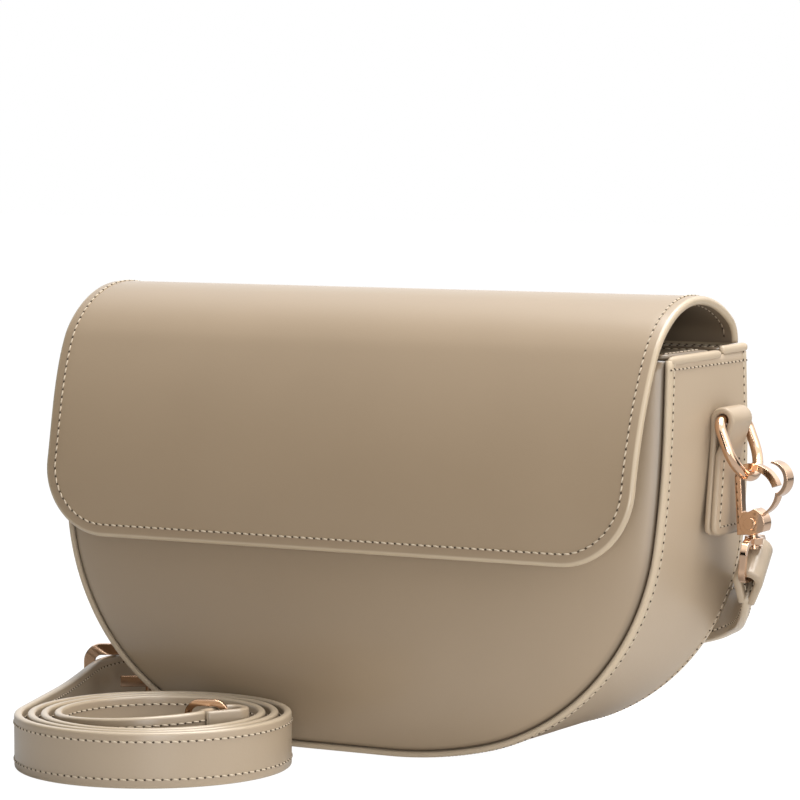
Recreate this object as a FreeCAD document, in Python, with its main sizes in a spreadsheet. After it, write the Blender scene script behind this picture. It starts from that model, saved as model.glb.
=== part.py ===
"""Saddle handbag with a hinged flap, side rings and a buckled shoulder strap.

Millimetres, +Z up, +X to the bag's right, the front faces -Y.
The origin is at the bottom centre of the bag's own box, without the strap.
"""
import FreeCAD, Part
import math
import os

import Sketcher

Vec = FreeCAD.Vector

# Driving sizes
SIZES = {
    # body
    "bag_width": 260.0,
    "body_height": 150.0,
    "mouth_depth": 66.0,
    "lean_out": 9.0,
    "bottom_radius": 166.0,
    "bottom_turn": 14.0,
    "corner_radius": 94.0,
    "corner_turn": 70.0,
    "side_radius": 420.0,
    "least_flat": 16.5,
    "least_side": 19.5,
    "gusset_wall": 2.2,
    "panel_wall": 2.0,
    "panel_bulge": 12.5,
    "seam_recess": 1.0,
    "board_wall": 1.2,
    "lining_wall": 0.8,
    "layer_gap": 0.15,
    # mouth strips
    "strip_wall": 2.0,
    "strip_inset": 1.6,
    "slot_behind_middle": 9.0,
    "slot_width": 12.0,
    # flap
    "flap_half_width": 125.5,
    "flap_right_of_middle": 1.3,
    "flap_wall": 1.9,
    "flap_lining_wall": 1.4,
    "flap_start_turn": 90.0,
    "flap_root": 1.0,
    "flap_back_radius": 12.0,
    "flap_back_turn": 35.0,
    "flap_crown_to_depth": 0.756,
    "flap_shoulder_to_depth": 0.664,
    "flap_shoulder_turn": 60.0,
    "flap_front_radius": 150.0,
    "flap_front_turn": 84.0,
    "flap_fall": 76.0,
    "flap_corner": 28.0,
    "hinge_gap": 0.35,
    # magnetic closure
    "magnet_radius": 8.5,
    "magnet_wall": 2.6,
    "magnet_below_hinge": 61.0,
    "magnet_gap": 0.4,
    # side tabs and rings
    "tab_wall": 2.4,
    "tab_top_width": 17.0,
    "tab_bottom_width": 25.0,
    "tab_drop": 42.0,
    "tab_throat": 13.0,
    "tab_corner": 4.0,
    "tab_behind_middle": 9.0,
    "ring_below_top": 23.4,
    "ring_wire": 4.0,
    "ring_inner_width": 20.0,
    "ring_leg": 10.0,
    "ring_corner": 4.5,
    "ring_play": 0.35,
    "ring_rest_swing": 21.5,
    # swivel clasps
    "clasp_lean": -3.0,
    "eye_tilt": 8.0,
    "fold_tilt": 25.0,
    "bow_radius": 4.6,
    "bow_reach": 10.5,
    "bow_tip_angle": 17.0,
    "hook_wire": 2.4,
    "hook_wall": 3.6,
    "ring_rest_gap": 0.3,
    "pivot_drop": 16.2,
    "pivot_radius": 1.5,
    "block_radius": 4.2,
    "lever_wall": 1.1,
    "lever_play": 0.3,
    "lever_arm": 1.4,
    "lever_bow": 1.6,
    "lever_bridge": 1.3,
    "leaf_length": 13.0,
    "leaf_rise": 3.9,
    "leaf_curl": 1.7,
    "spring_radius": 2.9,
    "spring_wire": 0.35,
    "spring_recess": 1.0,
    "rivet_head": 2.3,
    "rivet_head_wall": 0.6,
    "post_radius": 1.5,
    "post_head": 2.7,
    "post_head_wall": 1.2,
    "eye_boss": 3.4,
    "eye_turn": 8.0,
    "eye_play": 0.8,
    "eye_inner_width": 21.0,
    "eye_inner_height": 11.2,
    "eye_wire": 2.4,
    "eye_corner": 3.0,
    # strap
    "strap_width": 20.0,
    "strap_wall": 3.0,
    "loop_inner_radius": 3.6,
    "loop_reach": 10.5,
    "fold_gap": 0.4,
    "coil_radius": 49.2,
    "coil_pitch": 4.8,
    "coil_half_turns": 6.0,
    "coil_x": -46.4,
    "coil_y": -99.6,
    "coil_start": 198.0,
    "end_radius": 31.0,
    "end_turn": 147.0,
    "end_run": 1.5,
    "end_clasp_turn": 130.0,
    # buckle
    "buckle_turn": 30.0,
    "buckle_length": 27.0,
    "buckle_rim": 4.5,
    "buckle_foot": 2.0,
    "buckle_wall": 2.6,
    "buckle_corner": 7.0,
    "buckle_play": 0.25,
    "buckle_past_strap": 3.8,
    "heel_radius": 1.3,
    "prong_width": 4.4,
    "prong_wall": 1.5,
    "prong_length": 11.0,
}

doc = FreeCAD.newDocument("saddle_handbag")
sheet = doc.addObject("Spreadsheet::Sheet", "Sizes")
for row, (alias, number) in enumerate(SIZES.items(), start=1):
    sheet.set(f"A{row}", alias)
    sheet.set(f"B{row}", repr(number))
    sheet.setAlias(f"B{row}", alias)
doc.recompute()

sub_parts = []


def size(alias):
    """One driving size, read from the sheet."""
    return float(getattr(sheet, alias))


def add_body(label):
    """A new named body, kept for the export."""
    body = doc.addObject("PartDesign::Body", label)
    body.Label = label
    sub_parts.append(body)
    return body


def add_sketch(body, role, name, offset=0.0):
    """A sketch on one of the body's own origin planes, offset along its normal."""
    sketch = body.newObject("Sketcher::SketchObject", f"{body.Name}_{name}")
    plane = next(f for f in body.Origin.OriginFeatures if f.Role == role)
    sketch.AttachmentSupport = [(plane, "")]
    sketch.MapMode = "FlatFace"
    sketch.AttachmentOffset = FreeCAD.Placement(Vec(0, 0, offset), FreeCAD.Rotation())
    return sketch


def draw_chain(sketch, pieces):
    """Closed chain of ("line", a, b) and ("arc", a, middle, b) pieces, joined end to end."""
    first = sketch.GeometryCount
    turned = []
    for kind, *points in pieces:
        ends = [Vec(x, y, 0) for x, y in points]
        backwards = kind == "arc" and (ends[1] - ends[0]).cross(ends[2] - ends[0]).z < 0
        ends = ends[::-1] if backwards else ends
        sketch.addGeometry(Part.LineSegment(*ends) if kind == "line" else Part.Arc(*ends), False)
        turned.append(backwards)
    for k, backwards in enumerate(turned):
        after = (k + 1) % len(pieces)
        end_side = 1 if backwards else 2
        start_side = 2 if turned[after] else 1
        meet = Sketcher.Constraint("Coincident", first + k, end_side, first + after, start_side)
        sketch.addConstraint(meet)


def draw_polygon(sketch, points):
    """Closed polygon through the points."""
    draw_chain(sketch, [("line", a, b) for a, b in zip(points, points[1:] + points[:1])])


def draw_box(sketch, x_from, y_from, x_to, y_to):
    """Rectangle between two corners."""
    draw_polygon(sketch, [(x_from, y_from), (x_to, y_from), (x_to, y_to), (x_from, y_to)])


def draw_circle(sketch, x, y, radius_cell):
    """Circle whose radius is bound to a cell of the sheet."""
    index = sketch.addGeometry(Part.Circle(Vec(x, y, 0), Vec(0, 0, 1), size(radius_cell)), False)
    constraint = sketch.addConstraint(Sketcher.Constraint("Radius", index, size(radius_cell)))
    sketch.setExpression(f"Constraints[{constraint}]", f"Sizes.{radius_cell}")


def pad(body, sketch, length, symmetric=True, reverse=False):
    """Pad whose length is an expression on the sheet."""
    feature = body.newObject("PartDesign::Pad", f"{body.Name}_pad")
    feature.Profile = sketch
    feature.SideType = "Symmetric" if symmetric else "One side"
    feature.Reversed = reverse
    feature.setExpression("Length", length)
    return feature


def pocket_through(body, sketch):
    """Cut the sketch right through the body, both ways."""
    feature = body.newObject("PartDesign::Pocket", f"{body.Name}_cut")
    feature.Profile = sketch
    feature.Type = "ThroughAll"
    feature.SideType = "Symmetric"
    return feature


def loft(body, kind, sections):
    """Ruled loft through sketches, added or taken away."""
    feature = body.newObject(f"PartDesign::{kind}Loft", f"{body.Name}_{kind}")
    feature.Profile = sections[0]
    feature.Sections = sections[1:]
    feature.Ruled = True
    return feature


def pipe(body, profile, spine):
    """Profile carried along a spine."""
    feature = body.newObject("PartDesign::AdditivePipe", f"{body.Name}_pipe")
    feature.Profile = profile
    feature.Spine = (spine, [f"Edge{k + 1}" for k in range(spine.GeometryCount)])
    return feature


def soften(body, feature, edges, cell):
    """Round the named edges of a feature by a radius cell."""
    rounded = body.newObject("PartDesign::Fillet", f"{body.Name}_round")
    rounded.Base = (feature, edges)
    rounded.setExpression("Radius", f"Sizes.{cell}")
    return rounded


def edges_where(feature, test):
    """Names of the feature's edges that pass a test on the edge."""
    doc.recompute()
    return [f"Edge{k + 1}" for k, edge in enumerate(feature.Shape.Edges) if test(edge)]


def place(body, x="0", y="0", z="0", rotation=None):
    """Placement whose base is bound to the sheet."""
    body.Placement = FreeCAD.Placement(Vec(), rotation or FreeCAD.Rotation())
    for axis, expression in zip("xyz", (x, y, z)):
        body.setExpression(f"Placement.Base.{axis}", expression)


# Where a chain of arcs runs
def heading_chain(start, steps, offset):
    """Path in the YZ plane from straight runs and tangent arcs, moved outwards by an offset.

    A step is (length, None) for a straight run or (radius, new heading) for an arc. The
    heading is measured upwards from -Y, and outwards is to the upper right of the path.
    """
    pieces = []
    y, z = start
    heading = math.radians(size("flap_start_turn"))

    def outside(at_y, at_z, angle):
        return (at_y + offset * math.sin(angle), at_z + offset * math.cos(angle))

    for amount, turn_to in steps:
        if turn_to is None:
            end_y = y - amount * math.cos(heading)
            end_z = z + amount * math.sin(heading)
            pieces.append(("line", outside(y, z, heading), outside(end_y, end_z, heading)))
        else:
            centre_y = y - amount * math.sin(heading)
            centre_z = z - amount * math.cos(heading)
            target = math.radians(turn_to)
            middle = (heading + target) / 2
            spots = []
            for angle in (heading, middle, target):
                reach = amount + offset
                spots.append((centre_y + reach * math.sin(angle), centre_z + reach * math.cos(angle)))
            pieces.append(("arc", *spots))
            end_y = centre_y + amount * math.sin(target)
            end_z = centre_z + amount * math.cos(target)
            heading = target
        y, z = end_y, end_z
    return pieces


def reversed_chain(pieces):
    """The same chain, run backwards."""
    return [(kind, *points[::-1]) for kind, *points in pieces[::-1]]


flap_thickness = size("flap_wall") + size("flap_lining_wall")
hinge_radius = flap_thickness / 2
hinge_y = size("mouth_depth") / 2 - hinge_radius
hinge_z = size("body_height") + size("strip_wall") / 2 + hinge_radius + size("hinge_gap")


def flap_bottom():
    """Height of the flap's lower edge."""
    return hinge_z - size("flap_fall")


def flap_steps():
    """Runs and arcs of the flap's middle surface, from the hinge to the lower edge."""
    half = hinge_radius
    steps = [
        (size("flap_root"), None),
        (size("flap_back_radius") - half, size("flap_back_turn")),
        (size("flap_crown_to_depth") * size("mouth_depth") - half, 0.0),
        (size("flap_shoulder_to_depth") * size("mouth_depth") - half, -size("flap_shoulder_turn")),
        (size("flap_front_radius") - half, -size("flap_front_turn")),
    ]
    last = heading_chain((hinge_y, hinge_z), steps, 0.0)[-1][-1]
    left = last[1] - flap_bottom()
    steps.append((left / math.sin(math.radians(size("flap_front_turn"))), None))
    return steps


flap_front = -heading_chain((hinge_y, hinge_z), flap_steps(), hinge_radius)[-1][-1][0]
back_reach = size("mouth_depth") / 2 + size("lean_out")
# the bag's mid plane stands behind the box's centre, because the flap stands out in front
middle_y = (flap_front - back_reach) / 2
MIDDLE = f"{middle_y!r}"


# The D-shaped outline
ROUNDS = (size("bottom_radius"), size("corner_radius"), size("side_radius"))


def round_share():
    """Share of the three radii that fits into the bag's width and height."""
    turns = (0.0, size("bottom_turn"), size("bottom_turn") + size("corner_turn"), 90.0)
    spans = [math.radians(turn) for turn in turns]
    reach = sum(r * (math.sin(b) - math.sin(a)) for r, a, b in zip(ROUNDS, spans, spans[1:]))
    rise = sum(r * (math.cos(a) - math.cos(b)) for r, a, b in zip(ROUNDS, spans, spans[1:]))
    across = (size("bag_width") / 2 - size("least_flat")) / reach
    upright = (size("body_height") - size("least_side")) / rise
    return min(1.0, across, upright)


def outline(inset, top_drop=0.0):
    """D outline, moved inwards: flat bottom, three tangent arcs a side, straight up to the top."""
    turns = (size("bottom_turn"), size("bottom_turn") + size("corner_turn"), 90.0)
    spans = [0.0] + [math.radians(turn) for turn in turns]
    radii = [radius * round_share() for radius in ROUNDS]
    reach = sum(r * (math.sin(b) - math.sin(a)) for r, a, b in zip(radii, spans, spans[1:]))
    x = size("bag_width") / 2 - reach
    z = inset
    top = size("body_height") - top_drop
    right = []
    for radius, begin, end in zip(radii, spans, spans[1:]):
        tight = radius - inset
        # a lowered top cuts the side arc short
        limit = max(math.cos(end), math.cos(begin) - (top - size("seam_recess") - z) / tight)
        end = math.acos(limit)
        centre_x = x - tight * math.sin(begin)
        centre_z = z + tight * math.cos(begin)
        spots = []
        for angle in (begin, (begin + end) / 2, end):
            spots.append((centre_x + tight * math.sin(angle), centre_z - tight * math.cos(angle)))
        right.append(("arc", *spots))
        x, z = spots[-1]
    right.append(("line", (x, z), (x, top)))
    left = [(kind, *[(-a, b) for a, b in points]) for kind, *points in right]
    across = ("line", (x, top), (-x, top))
    bottom = ("line", left[0][1], right[0][1])
    return [bottom, *right, across, *reversed_chain(left)]


def draw_band(sketch, inset, wall):
    """U-shaped band of the D outline, open at the top."""
    outer = outline(inset)
    inner = outline(inset + wall)
    path = [*outer[6:], *outer[:5]]
    inner_path = [*inner[6:], *inner[:5]]
    chain = [
        *path,
        ("line", path[-1][-1], inner_path[-1][-1]),
        *reversed_chain(inner_path),
        ("line", inner_path[0][1], path[0][1]),
    ]
    draw_chain(sketch, chain)


FAR = size("bag_width")


def lean_line(y_at_top, lean):
    """Two points of a wall line in the YZ plane that leans out towards the floor."""
    drop = size("body_height")
    slope = lean * size("lean_out") / drop
    low, high = -FAR, 2 * FAR
    return [(y_at_top + slope * (drop - z), z) for z in (low, high)]


def trim_front(body, y_at_top, lean):
    """Cut off what lies in front of a leaning plane."""
    sketch = add_sketch(body, "YZ_Plane", "front_trim")
    low, high = lean_line(y_at_top, lean)
    draw_polygon(sketch, [low, high, (-3 * FAR, high[1]), (-3 * FAR, low[1])])
    return pocket_through(body, sketch)


def trim_back(body, y_at_top, lean):
    """Cut off what lies behind a leaning plane."""
    sketch = add_sketch(body, "YZ_Plane", "back_trim")
    low, high = lean_line(y_at_top, lean)
    draw_polygon(sketch, [low, high, (3 * FAR, high[1]), (3 * FAR, low[1])])
    return pocket_through(body, sketch)


BODY_PAD = "Sizes.mouth_depth + 4 * Sizes.lean_out"
half_mouth = size("mouth_depth") / 2
inner_inset = size("gusset_wall") + size("layer_gap")


def make_gusset():
    """Side and bottom band with its rims."""
    body = add_body("gusset")
    sketch = add_sketch(body, "XZ_Plane", "band")
    draw_band(sketch, 0.0, size("gusset_wall"))
    pad(body, sketch, BODY_PAD)
    trim_front(body, -half_mouth, -1)
    trim_back(body, half_mouth, 1)
    place(body, y=MIDDLE)


def make_plate(label, inset, y_front, y_back, lean_front, lean_back, top_drop=0.0):
    """D-shaped layer between two leaning planes."""
    body = add_body(label)
    sketch = add_sketch(body, "XZ_Plane", "outline")
    draw_chain(sketch, outline(inset, top_drop))
    pad(body, sketch, BODY_PAD)
    trim_front(body, y_front, lean_front)
    trim_back(body, y_back, lean_back)
    place(body, y=MIDDLE)
    return body


def make_back():
    """Flat back panel and the board behind it."""
    face = half_mouth - size("seam_recess")
    inside = face - size("panel_wall")
    make_plate("back_panel", inner_inset, inside, face, 1, 1)
    board_face = inside - size("layer_gap")
    board_back = board_face - size("board_wall")
    make_plate("back_board", inner_inset, board_back, board_face, 1, 1, size("layer_gap"))


def make_lining():
    """Fabric pouch, open at the top."""
    gap = size("layer_gap")
    front = -half_mouth + size("seam_recess") + gap
    back = half_mouth - size("seam_recess") - size("panel_wall") - size("board_wall") - 2 * gap
    wall = size("lining_wall")
    body = make_plate("lining", inner_inset, front, back, -1, 1, gap)
    hollow = doc.addObject("PartDesign::Body", "lining_hollow")
    sketch = add_sketch(hollow, "XZ_Plane", "outline")
    draw_chain(sketch, outline(inner_inset + wall, -FAR))
    pad(hollow, sketch, BODY_PAD)
    trim_front(hollow, front + wall, -1)
    trim_back(hollow, back - wall, 1)
    place(hollow, y=MIDDLE)
    sub_parts.remove(body)
    body.Label = "lining_block"
    cut = doc.addObject("Part::Cut", "lining")
    cut.Base = body
    cut.Tool = hollow
    cut.Label = "lining"
    sub_parts.append(cut)


# The swollen front
PILLOW = ((0.0, 0.0), (3.0, 0.3), (24.0, 0.78), (52.0, 1.0))


def pillow_sections(body, name, inset, wall, behind, top_drop):
    """Sketches of a pillow: D outlines that shrink as they come forward."""
    sketches = []
    for number, (shrink, share) in enumerate(PILLOW):
        forward = share * size("panel_bulge") - wall
        forward = -size("seam_recess") - behind if number == 0 else forward
        sketch = add_sketch(body, "XZ_Plane", f"{name}{number}", forward)
        step = shrink * round_share()
        draw_chain(sketch, outline(inset + step, top_drop + step))
        sketches.append(sketch)
    return sketches


def lean_front_place(body):
    """Turn a front layer about the mouth's front edge, so that it leans with the rim."""
    angle = math.atan2(size("lean_out"), size("body_height"))
    turn = FreeCAD.Rotation(Vec(1, 0, 0), -math.degrees(angle))
    base_y = middle_y - half_mouth - size("body_height") * math.sin(angle)
    base_z = size("body_height") * (1 - math.cos(angle))
    body.Placement = FreeCAD.Placement(Vec(0, base_y, base_z), turn)


def make_front():
    """Front panel as a swollen shell, with its padding inside."""
    wall = size("panel_wall")
    gap = size("layer_gap")
    edge = inner_inset + gap
    body = add_body("front_panel")
    loft(body, "Additive", pillow_sections(body, "face", edge, 0.0, 0.0, gap))
    loft(body, "Subtractive", pillow_sections(body, "inside", edge + wall, wall, gap, gap + wall))
    lean_front_place(body)
    padding = add_body("front_padding")
    fill = pillow_sections(padding, "fill", edge + wall + gap, wall + gap, 0.0, 2 * gap + wall)
    loft(padding, "Additive", fill)
    lean_front_place(padding)


# The mouth
def make_top_strips():
    """Strips across the mouth, with the slot between them."""
    half_length = size("bag_width") / 2 - size("strip_inset")
    slot_y = size("slot_behind_middle")
    half_slot = size("slot_width") / 2
    rear_limit = hinge_y - hinge_radius - 2 * size("hinge_gap")
    spans = {
        "front_top_strip": (-half_mouth + size("strip_inset"), slot_y - half_slot),
        "rear_top_strip": (slot_y + half_slot, rear_limit),
    }
    for label, (y_from, y_to) in spans.items():
        body = add_body(label)
        sketch = add_sketch(body, "XY_Plane", "strip")
        draw_box(sketch, -half_length, y_from, half_length, y_to)
        pad(body, sketch, "Sizes.strip_wall", symmetric=False)
        place(body, y=MIDDLE, z="Sizes.body_height")


# The flap
def make_flap():
    """Flap leather with its hinge roll, and the lining under it."""
    half = hinge_radius
    split = half - size("flap_wall")
    root = (hinge_y, hinge_z)
    steps = flap_steps()
    outer = heading_chain(root, steps, half)
    under = heading_chain(root, steps, split)
    roll = heading_chain(root, steps[:1], -half)
    turn = math.radians(size("flap_start_turn"))
    below = (hinge_y + half * math.cos(turn), hinge_z - half * math.sin(turn))
    leather = add_body("flap_outer")
    sketch = add_sketch(leather, "YZ_Plane", "profile")
    draw_chain(sketch, [
        *outer,
        ("line", outer[-1][-1], under[-1][-1]),
        *reversed_chain(under[1:]),
        ("line", under[0][-1], roll[0][-1]),
        *reversed_chain(roll),
        ("arc", roll[0][1], below, outer[0][1]),
    ])
    pad(leather, sketch, "2 * Sizes.flap_half_width")
    round_flap(leather)
    place(leather, x="Sizes.flap_right_of_middle", y=MIDDLE)

    lining = add_body("flap_lining")
    top = heading_chain(root, steps, split - size("layer_gap") / 2)
    bottom = heading_chain(root, steps, -half)
    inner_sketch = add_sketch(lining, "YZ_Plane", "profile")
    draw_chain(inner_sketch, [
        *top[1:],
        ("line", top[-1][-1], bottom[-1][-1]),
        *reversed_chain(bottom[1:]),
        ("line", bottom[1][1], top[1][1]),
    ])
    pad(lining, inner_sketch, "2 * Sizes.flap_half_width")
    round_flap(lining)
    place(lining, x="Sizes.flap_right_of_middle", y=MIDDLE)


def round_flap(body):
    """Cut the flap's two lower corners round."""
    side = size("flap_half_width")
    low = flap_bottom()
    radius = size("flap_corner")
    margin = flap_thickness
    slant = radius * (1 - math.sqrt(0.5))
    sketch = add_sketch(body, "XZ_Plane", "corners")
    for hand in (-1, 1):
        draw_chain(sketch, [
            (
                "arc",
                (hand * side, low + radius),
                (hand * (side - slant), low + slant),
                (hand * (side - radius), low),
            ),
            ("line", (hand * (side - radius), low), (hand * (side - radius), low - margin)),
            ("line", (hand * (side - radius), low - margin), (hand * (side + margin), low - margin)),
            ("line", (hand * (side + margin), low - margin), (hand * (side + margin), low + radius)),
            ("line", (hand * (side + margin), low + radius), (hand * side, low + radius)),
        ])
    pocket_through(body, sketch)


def panel_face_y(z):
    """Front of the swollen panel at its middle, at a height."""
    lean = size("lean_out") * (1 - z / size("body_height"))
    return -half_mouth - lean - size("panel_bulge")


def flap_inner_y(z):
    """Inner face of the flap's straight lower run, at a height."""
    line = heading_chain((hinge_y, hinge_z), flap_steps(), -hinge_radius)
    arc = line[-2]
    low, high = line[-1][-1], line[-1][1]
    if z <= high[1]:
        share = (z - low[1]) / (high[1] - low[1])
        return low[0] + share * (high[0] - low[0])
    circle = Part.Arc(*[Vec(a, b, 0) for a, b in arc[1:]]).toShape().Curve
    centre, radius = circle.Center, circle.Radius
    return centre.x - math.sqrt(radius ** 2 - (z - centre.y) ** 2)


def make_magnets():
    """Disc in the front panel and the disc on the flap that it holds."""
    z = hinge_z - size("magnet_below_hinge")
    reach = size("magnet_radius")
    lean = size("lean_out") / size("body_height")
    panel_seat = panel_face_y(z) - reach * lean - size("layer_gap")
    flap_seat = max(flap_inner_y(z - reach), flap_inner_y(z + reach)) + size("layer_gap")
    gap = panel_seat - flap_seat
    wall = min(size("magnet_wall"), (gap - size("magnet_gap")) / 2)
    for label, seat in (("panel_magnet", panel_seat - wall), ("flap_magnet", flap_seat)):
        body = add_body(label)
        sketch = add_sketch(body, "XZ_Plane", "disc")
        draw_circle(sketch, 0, 0, "magnet_radius")
        pad(body, sketch, repr(wall), symmetric=False, reverse=True)
        place(body, y=f"{MIDDLE} + {seat!r}", z=repr(z))


# Side tabs and rings
SIDE_Y = f"{MIDDLE} + Sizes.tab_behind_middle"
RING_Z = "Sizes.body_height - Sizes.ring_below_top"


def ring_bar_x():
    """Distance of a ring's bar from the bag's middle."""
    return size("bag_width") / 2 + size("tab_wall") + size("ring_wire") / 2 + size("ring_play")


def make_tab(label, side):
    """Folded strip sewn to the gusset, with the ring's bar in its fold."""
    body = add_body(label)
    wall = size("tab_wall")
    inner = size("ring_wire") / 2 + size("ring_play")
    outer = inner + wall
    bar = outer
    throat = -size("tab_throat")
    bottom = -size("tab_drop")
    sketch = add_sketch(body, "XZ_Plane", "fold")
    draw_chain(sketch, [
        ("line", (0.0, bottom), (0.0, 0.0)),
        ("arc", (0.0, 0.0), (bar, outer), (2 * outer, 0.0)),
        ("line", (2 * outer, 0.0), (2 * wall, throat)),
        ("line", (2 * wall, throat), (2 * wall, bottom)),
        ("line", (2 * wall, bottom), (0.0, bottom)),
    ])
    draw_chain(sketch, [
        ("arc", (bar - inner, 0.0), (bar, inner), (bar + inner, 0.0)),
        ("line", (bar + inner, 0.0), (wall, throat)),
        ("line", (wall, throat), (bar - inner, 0.0)),
    ])
    strip = pad(body, sketch, "Sizes.tab_bottom_width")
    narrow = size("tab_top_width") / 2
    broad = size("tab_bottom_width") / 2
    shape = add_sketch(body, "YZ_Plane", "flare")
    for hand in (-1, 1):
        draw_polygon(shape, [
            (hand * narrow, 2 * outer), (hand * 2 * broad, 2 * outer), (hand * 2 * broad, bottom),
            (hand * broad, bottom), (hand * narrow, throat / 2),
        ])
    flared = pocket_through(body, shape)

    def is_corner(edge):
        box = edge.BoundBox
        return box.YLength < 1e-6 and box.ZLength < 1e-6 and box.ZMax < bottom + 1e-6

    soften(body, flared, edges_where(flared, is_corner), "tab_corner")
    turn = FreeCAD.Rotation(Vec(0, 0, 1), 0 if side > 0 else 180)
    place(body, x=f"{side} * Sizes.bag_width / 2", y=SIDE_Y, z=RING_Z, rotation=turn)


def make_ring(label, side):
    """D-shaped wire ring."""
    body = add_body(label)
    half = (size("ring_inner_width") + size("ring_wire")) / 2
    corner = size("ring_corner")
    leg = -size("ring_leg")
    slant = corner * (1 - math.sqrt(0.5))
    spine = add_sketch(body, "YZ_Plane", "spine")
    draw_chain(spine, [
        ("line", (0.0, 0.0), (half - corner, 0.0)),
        ("arc", (half - corner, 0.0), (half - slant, -slant), (half, -corner)),
        ("line", (half, -corner), (half, leg)),
        ("arc", (half, leg), (0.0, leg - half), (-half, leg)),
        ("line", (-half, leg), (-half, -corner)),
        ("arc", (-half, -corner), (-half + slant, -slant), (-half + corner, 0.0)),
        ("line", (-half + corner, 0.0), (0.0, 0.0)),
    ])
    section = add_sketch(body, "XZ_Plane", "wire")
    index = section.addGeometry(Part.Circle(Vec(0, 0, 0), Vec(0, 0, 1), size("ring_wire") / 2), False)
    constraint = section.addConstraint(Sketcher.Constraint("Radius", index, size("ring_wire") / 2))
    section.setExpression(f"Constraints[{constraint}]", "Sizes.ring_wire / 2")
    pipe(body, section, spine)
    swing = FreeCAD.Rotation(Vec(0, 1, 0), -side * size("ring_rest_swing"))
    place(body, x=repr(side * ring_bar_x()), y=SIDE_Y, z=RING_Z, rotation=swing)


# Swivel clasps, drawn with the bow's centre at the origin, X across and Z along
def on_circle(x, z, radius, degrees):
    """Point of a circle at an angle."""
    angle = math.radians(degrees)
    return (x + radius * math.cos(angle), z + radius * math.sin(angle))


def arc_piece(x, z, radius, begin, end):
    """Arc of a circle between two angles."""
    middle = (begin + end) / 2
    return ("arc", *[on_circle(x, z, radius, angle) for angle in (begin, middle, end)])


def joined(pieces):
    """The pieces with straight lines put in wherever one does not meet the next."""
    chain = []
    for piece, after in zip(pieces, pieces[1:] + pieces[:1]):
        chain.append(piece)
        if math.dist(piece[-1], after[1]) > 1e-6:
            chain.append(("line", piece[-1], after[1]))
    return chain


def block_bottom():
    """Lower end of the hook's block."""
    return -size("pivot_drop") - size("block_radius")


def eye_top():
    """Upper face of the swivel eye."""
    return block_bottom() - size("eye_play")


def eye_bar():
    """Centre of the bar that the strap goes round."""
    return eye_top() - 1.5 * size("eye_wire") - size("eye_inner_height")


def about(level, degrees):
    """Turn about the cross axis at a level of a clasp."""
    return FreeCAD.Placement(Vec(), FreeCAD.Rotation(Vec(0, 1, 0), degrees), Vec(0, 0, level))


def clasp_frames(hand):
    """Placements of a clasp's hook and of its eye."""
    if hand == "right":
        swing = math.radians(size("ring_rest_swing"))
        reach = size("ring_leg") + (size("ring_inner_width") + size("ring_wire")) / 2
        wire_x = ring_bar_x() + reach * math.sin(swing)
        wire_z = size("body_height") - size("ring_below_top") - reach * math.cos(swing)
        turn = FreeCAD.Rotation(Vec(0, 1, 0), size("clasp_lean"))
        wire = Vec(wire_x, middle_y + size("tab_behind_middle"), wire_z)
        base = wire - turn.multVec(Vec(0, 0, ring_in_bow()))
        hook = FreeCAD.Placement(base, turn)
        tilt = about(eye_top() - size("eye_wire") / 2, size("eye_tilt"))
        spin = FreeCAD.Placement(Vec(), FreeCAD.Rotation(Vec(0, 0, 1), size("eye_turn")))
        return hook, hook * tilt * spin
    bar, strap_turn = end_loop_frame()
    # the clasp lies on its side, folded back over the strap's end
    flat = FreeCAD.Rotation(Vec(0, 0, 1), size("end_clasp_turn") + strap_turn)
    lay = FreeCAD.Rotation(Vec(0, 1, 0), 90) * FreeCAD.Rotation(Vec(0, 0, 1), 90)
    turn = flat * lay
    base = bar - turn.multVec(Vec(0, 0, eye_bar()))
    frame = FreeCAD.Placement(base, turn)
    return frame, frame


def ring_in_bow():
    """Height of the ring's wire above the bow's centre."""
    return size("bow_radius") - size("hook_wire") / 2 - size("ring_wire") / 2 - size("ring_rest_gap")


def make_hook(label, frame):
    """Hook: bow, stem, the block that holds the lever and the post that the eye turns on."""
    half = size("hook_wire") / 2
    near = size("bow_radius")
    wide = size("bow_reach")
    low = near - wide
    tip = size("bow_tip_angle")
    pivot = -size("pivot_drop")
    block = size("block_radius")
    body = add_body(label)
    sketch = add_sketch(body, "XZ_Plane", "side")
    draw_chain(sketch, joined([
        arc_piece(0, 0, near + half, 180, 90),
        arc_piece(0, low, wide + half, 90, tip),
        arc_piece(0, low, wide - half, tip, 90),
        arc_piece(0, 0, near - half, 90, 180),
        ("line", (half - near, pivot + block), (0.0, pivot + block)),
        arc_piece(0, pivot, block, 90, -90),
        ("line", (-near - half, pivot - block), (-near - half, 0.0)),
    ]))
    pad(body, sketch, "Sizes.hook_wall")
    bore = add_sketch(body, "XZ_Plane", "bore")
    draw_circle(bore, 0, pivot, "pivot_radius")
    pocket_through(body, bore)
    recess = add_sketch(body, "XZ_Plane", "recess", size("hook_wall") / 2)
    draw_circle(recess, 0, pivot, "spring_radius")
    cut = body.newObject("PartDesign::Pocket", f"{label}_recess")
    cut.Profile = recess
    cut.setExpression("Length", "Sizes.spring_recess")
    post = add_sketch(body, "XZ_Plane", "post")
    bottom = block_bottom()
    seat = eye_top() - size("eye_wire") - size("eye_play")
    end = seat - size("post_head_wall")
    radius = size("post_radius")
    head = size("post_head")
    top = bottom + half / 2
    draw_polygon(post, [
        (0.0, top), (radius, top), (radius, seat), (head, seat), (head, end), (0.0, end),
    ])
    turned = body.newObject("PartDesign::Revolution", f"{label}_turned")
    turned.Profile = post
    turned.ReferenceAxis = (post, ["V_Axis"])
    turned.Angle = 360
    body.Placement = frame


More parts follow.
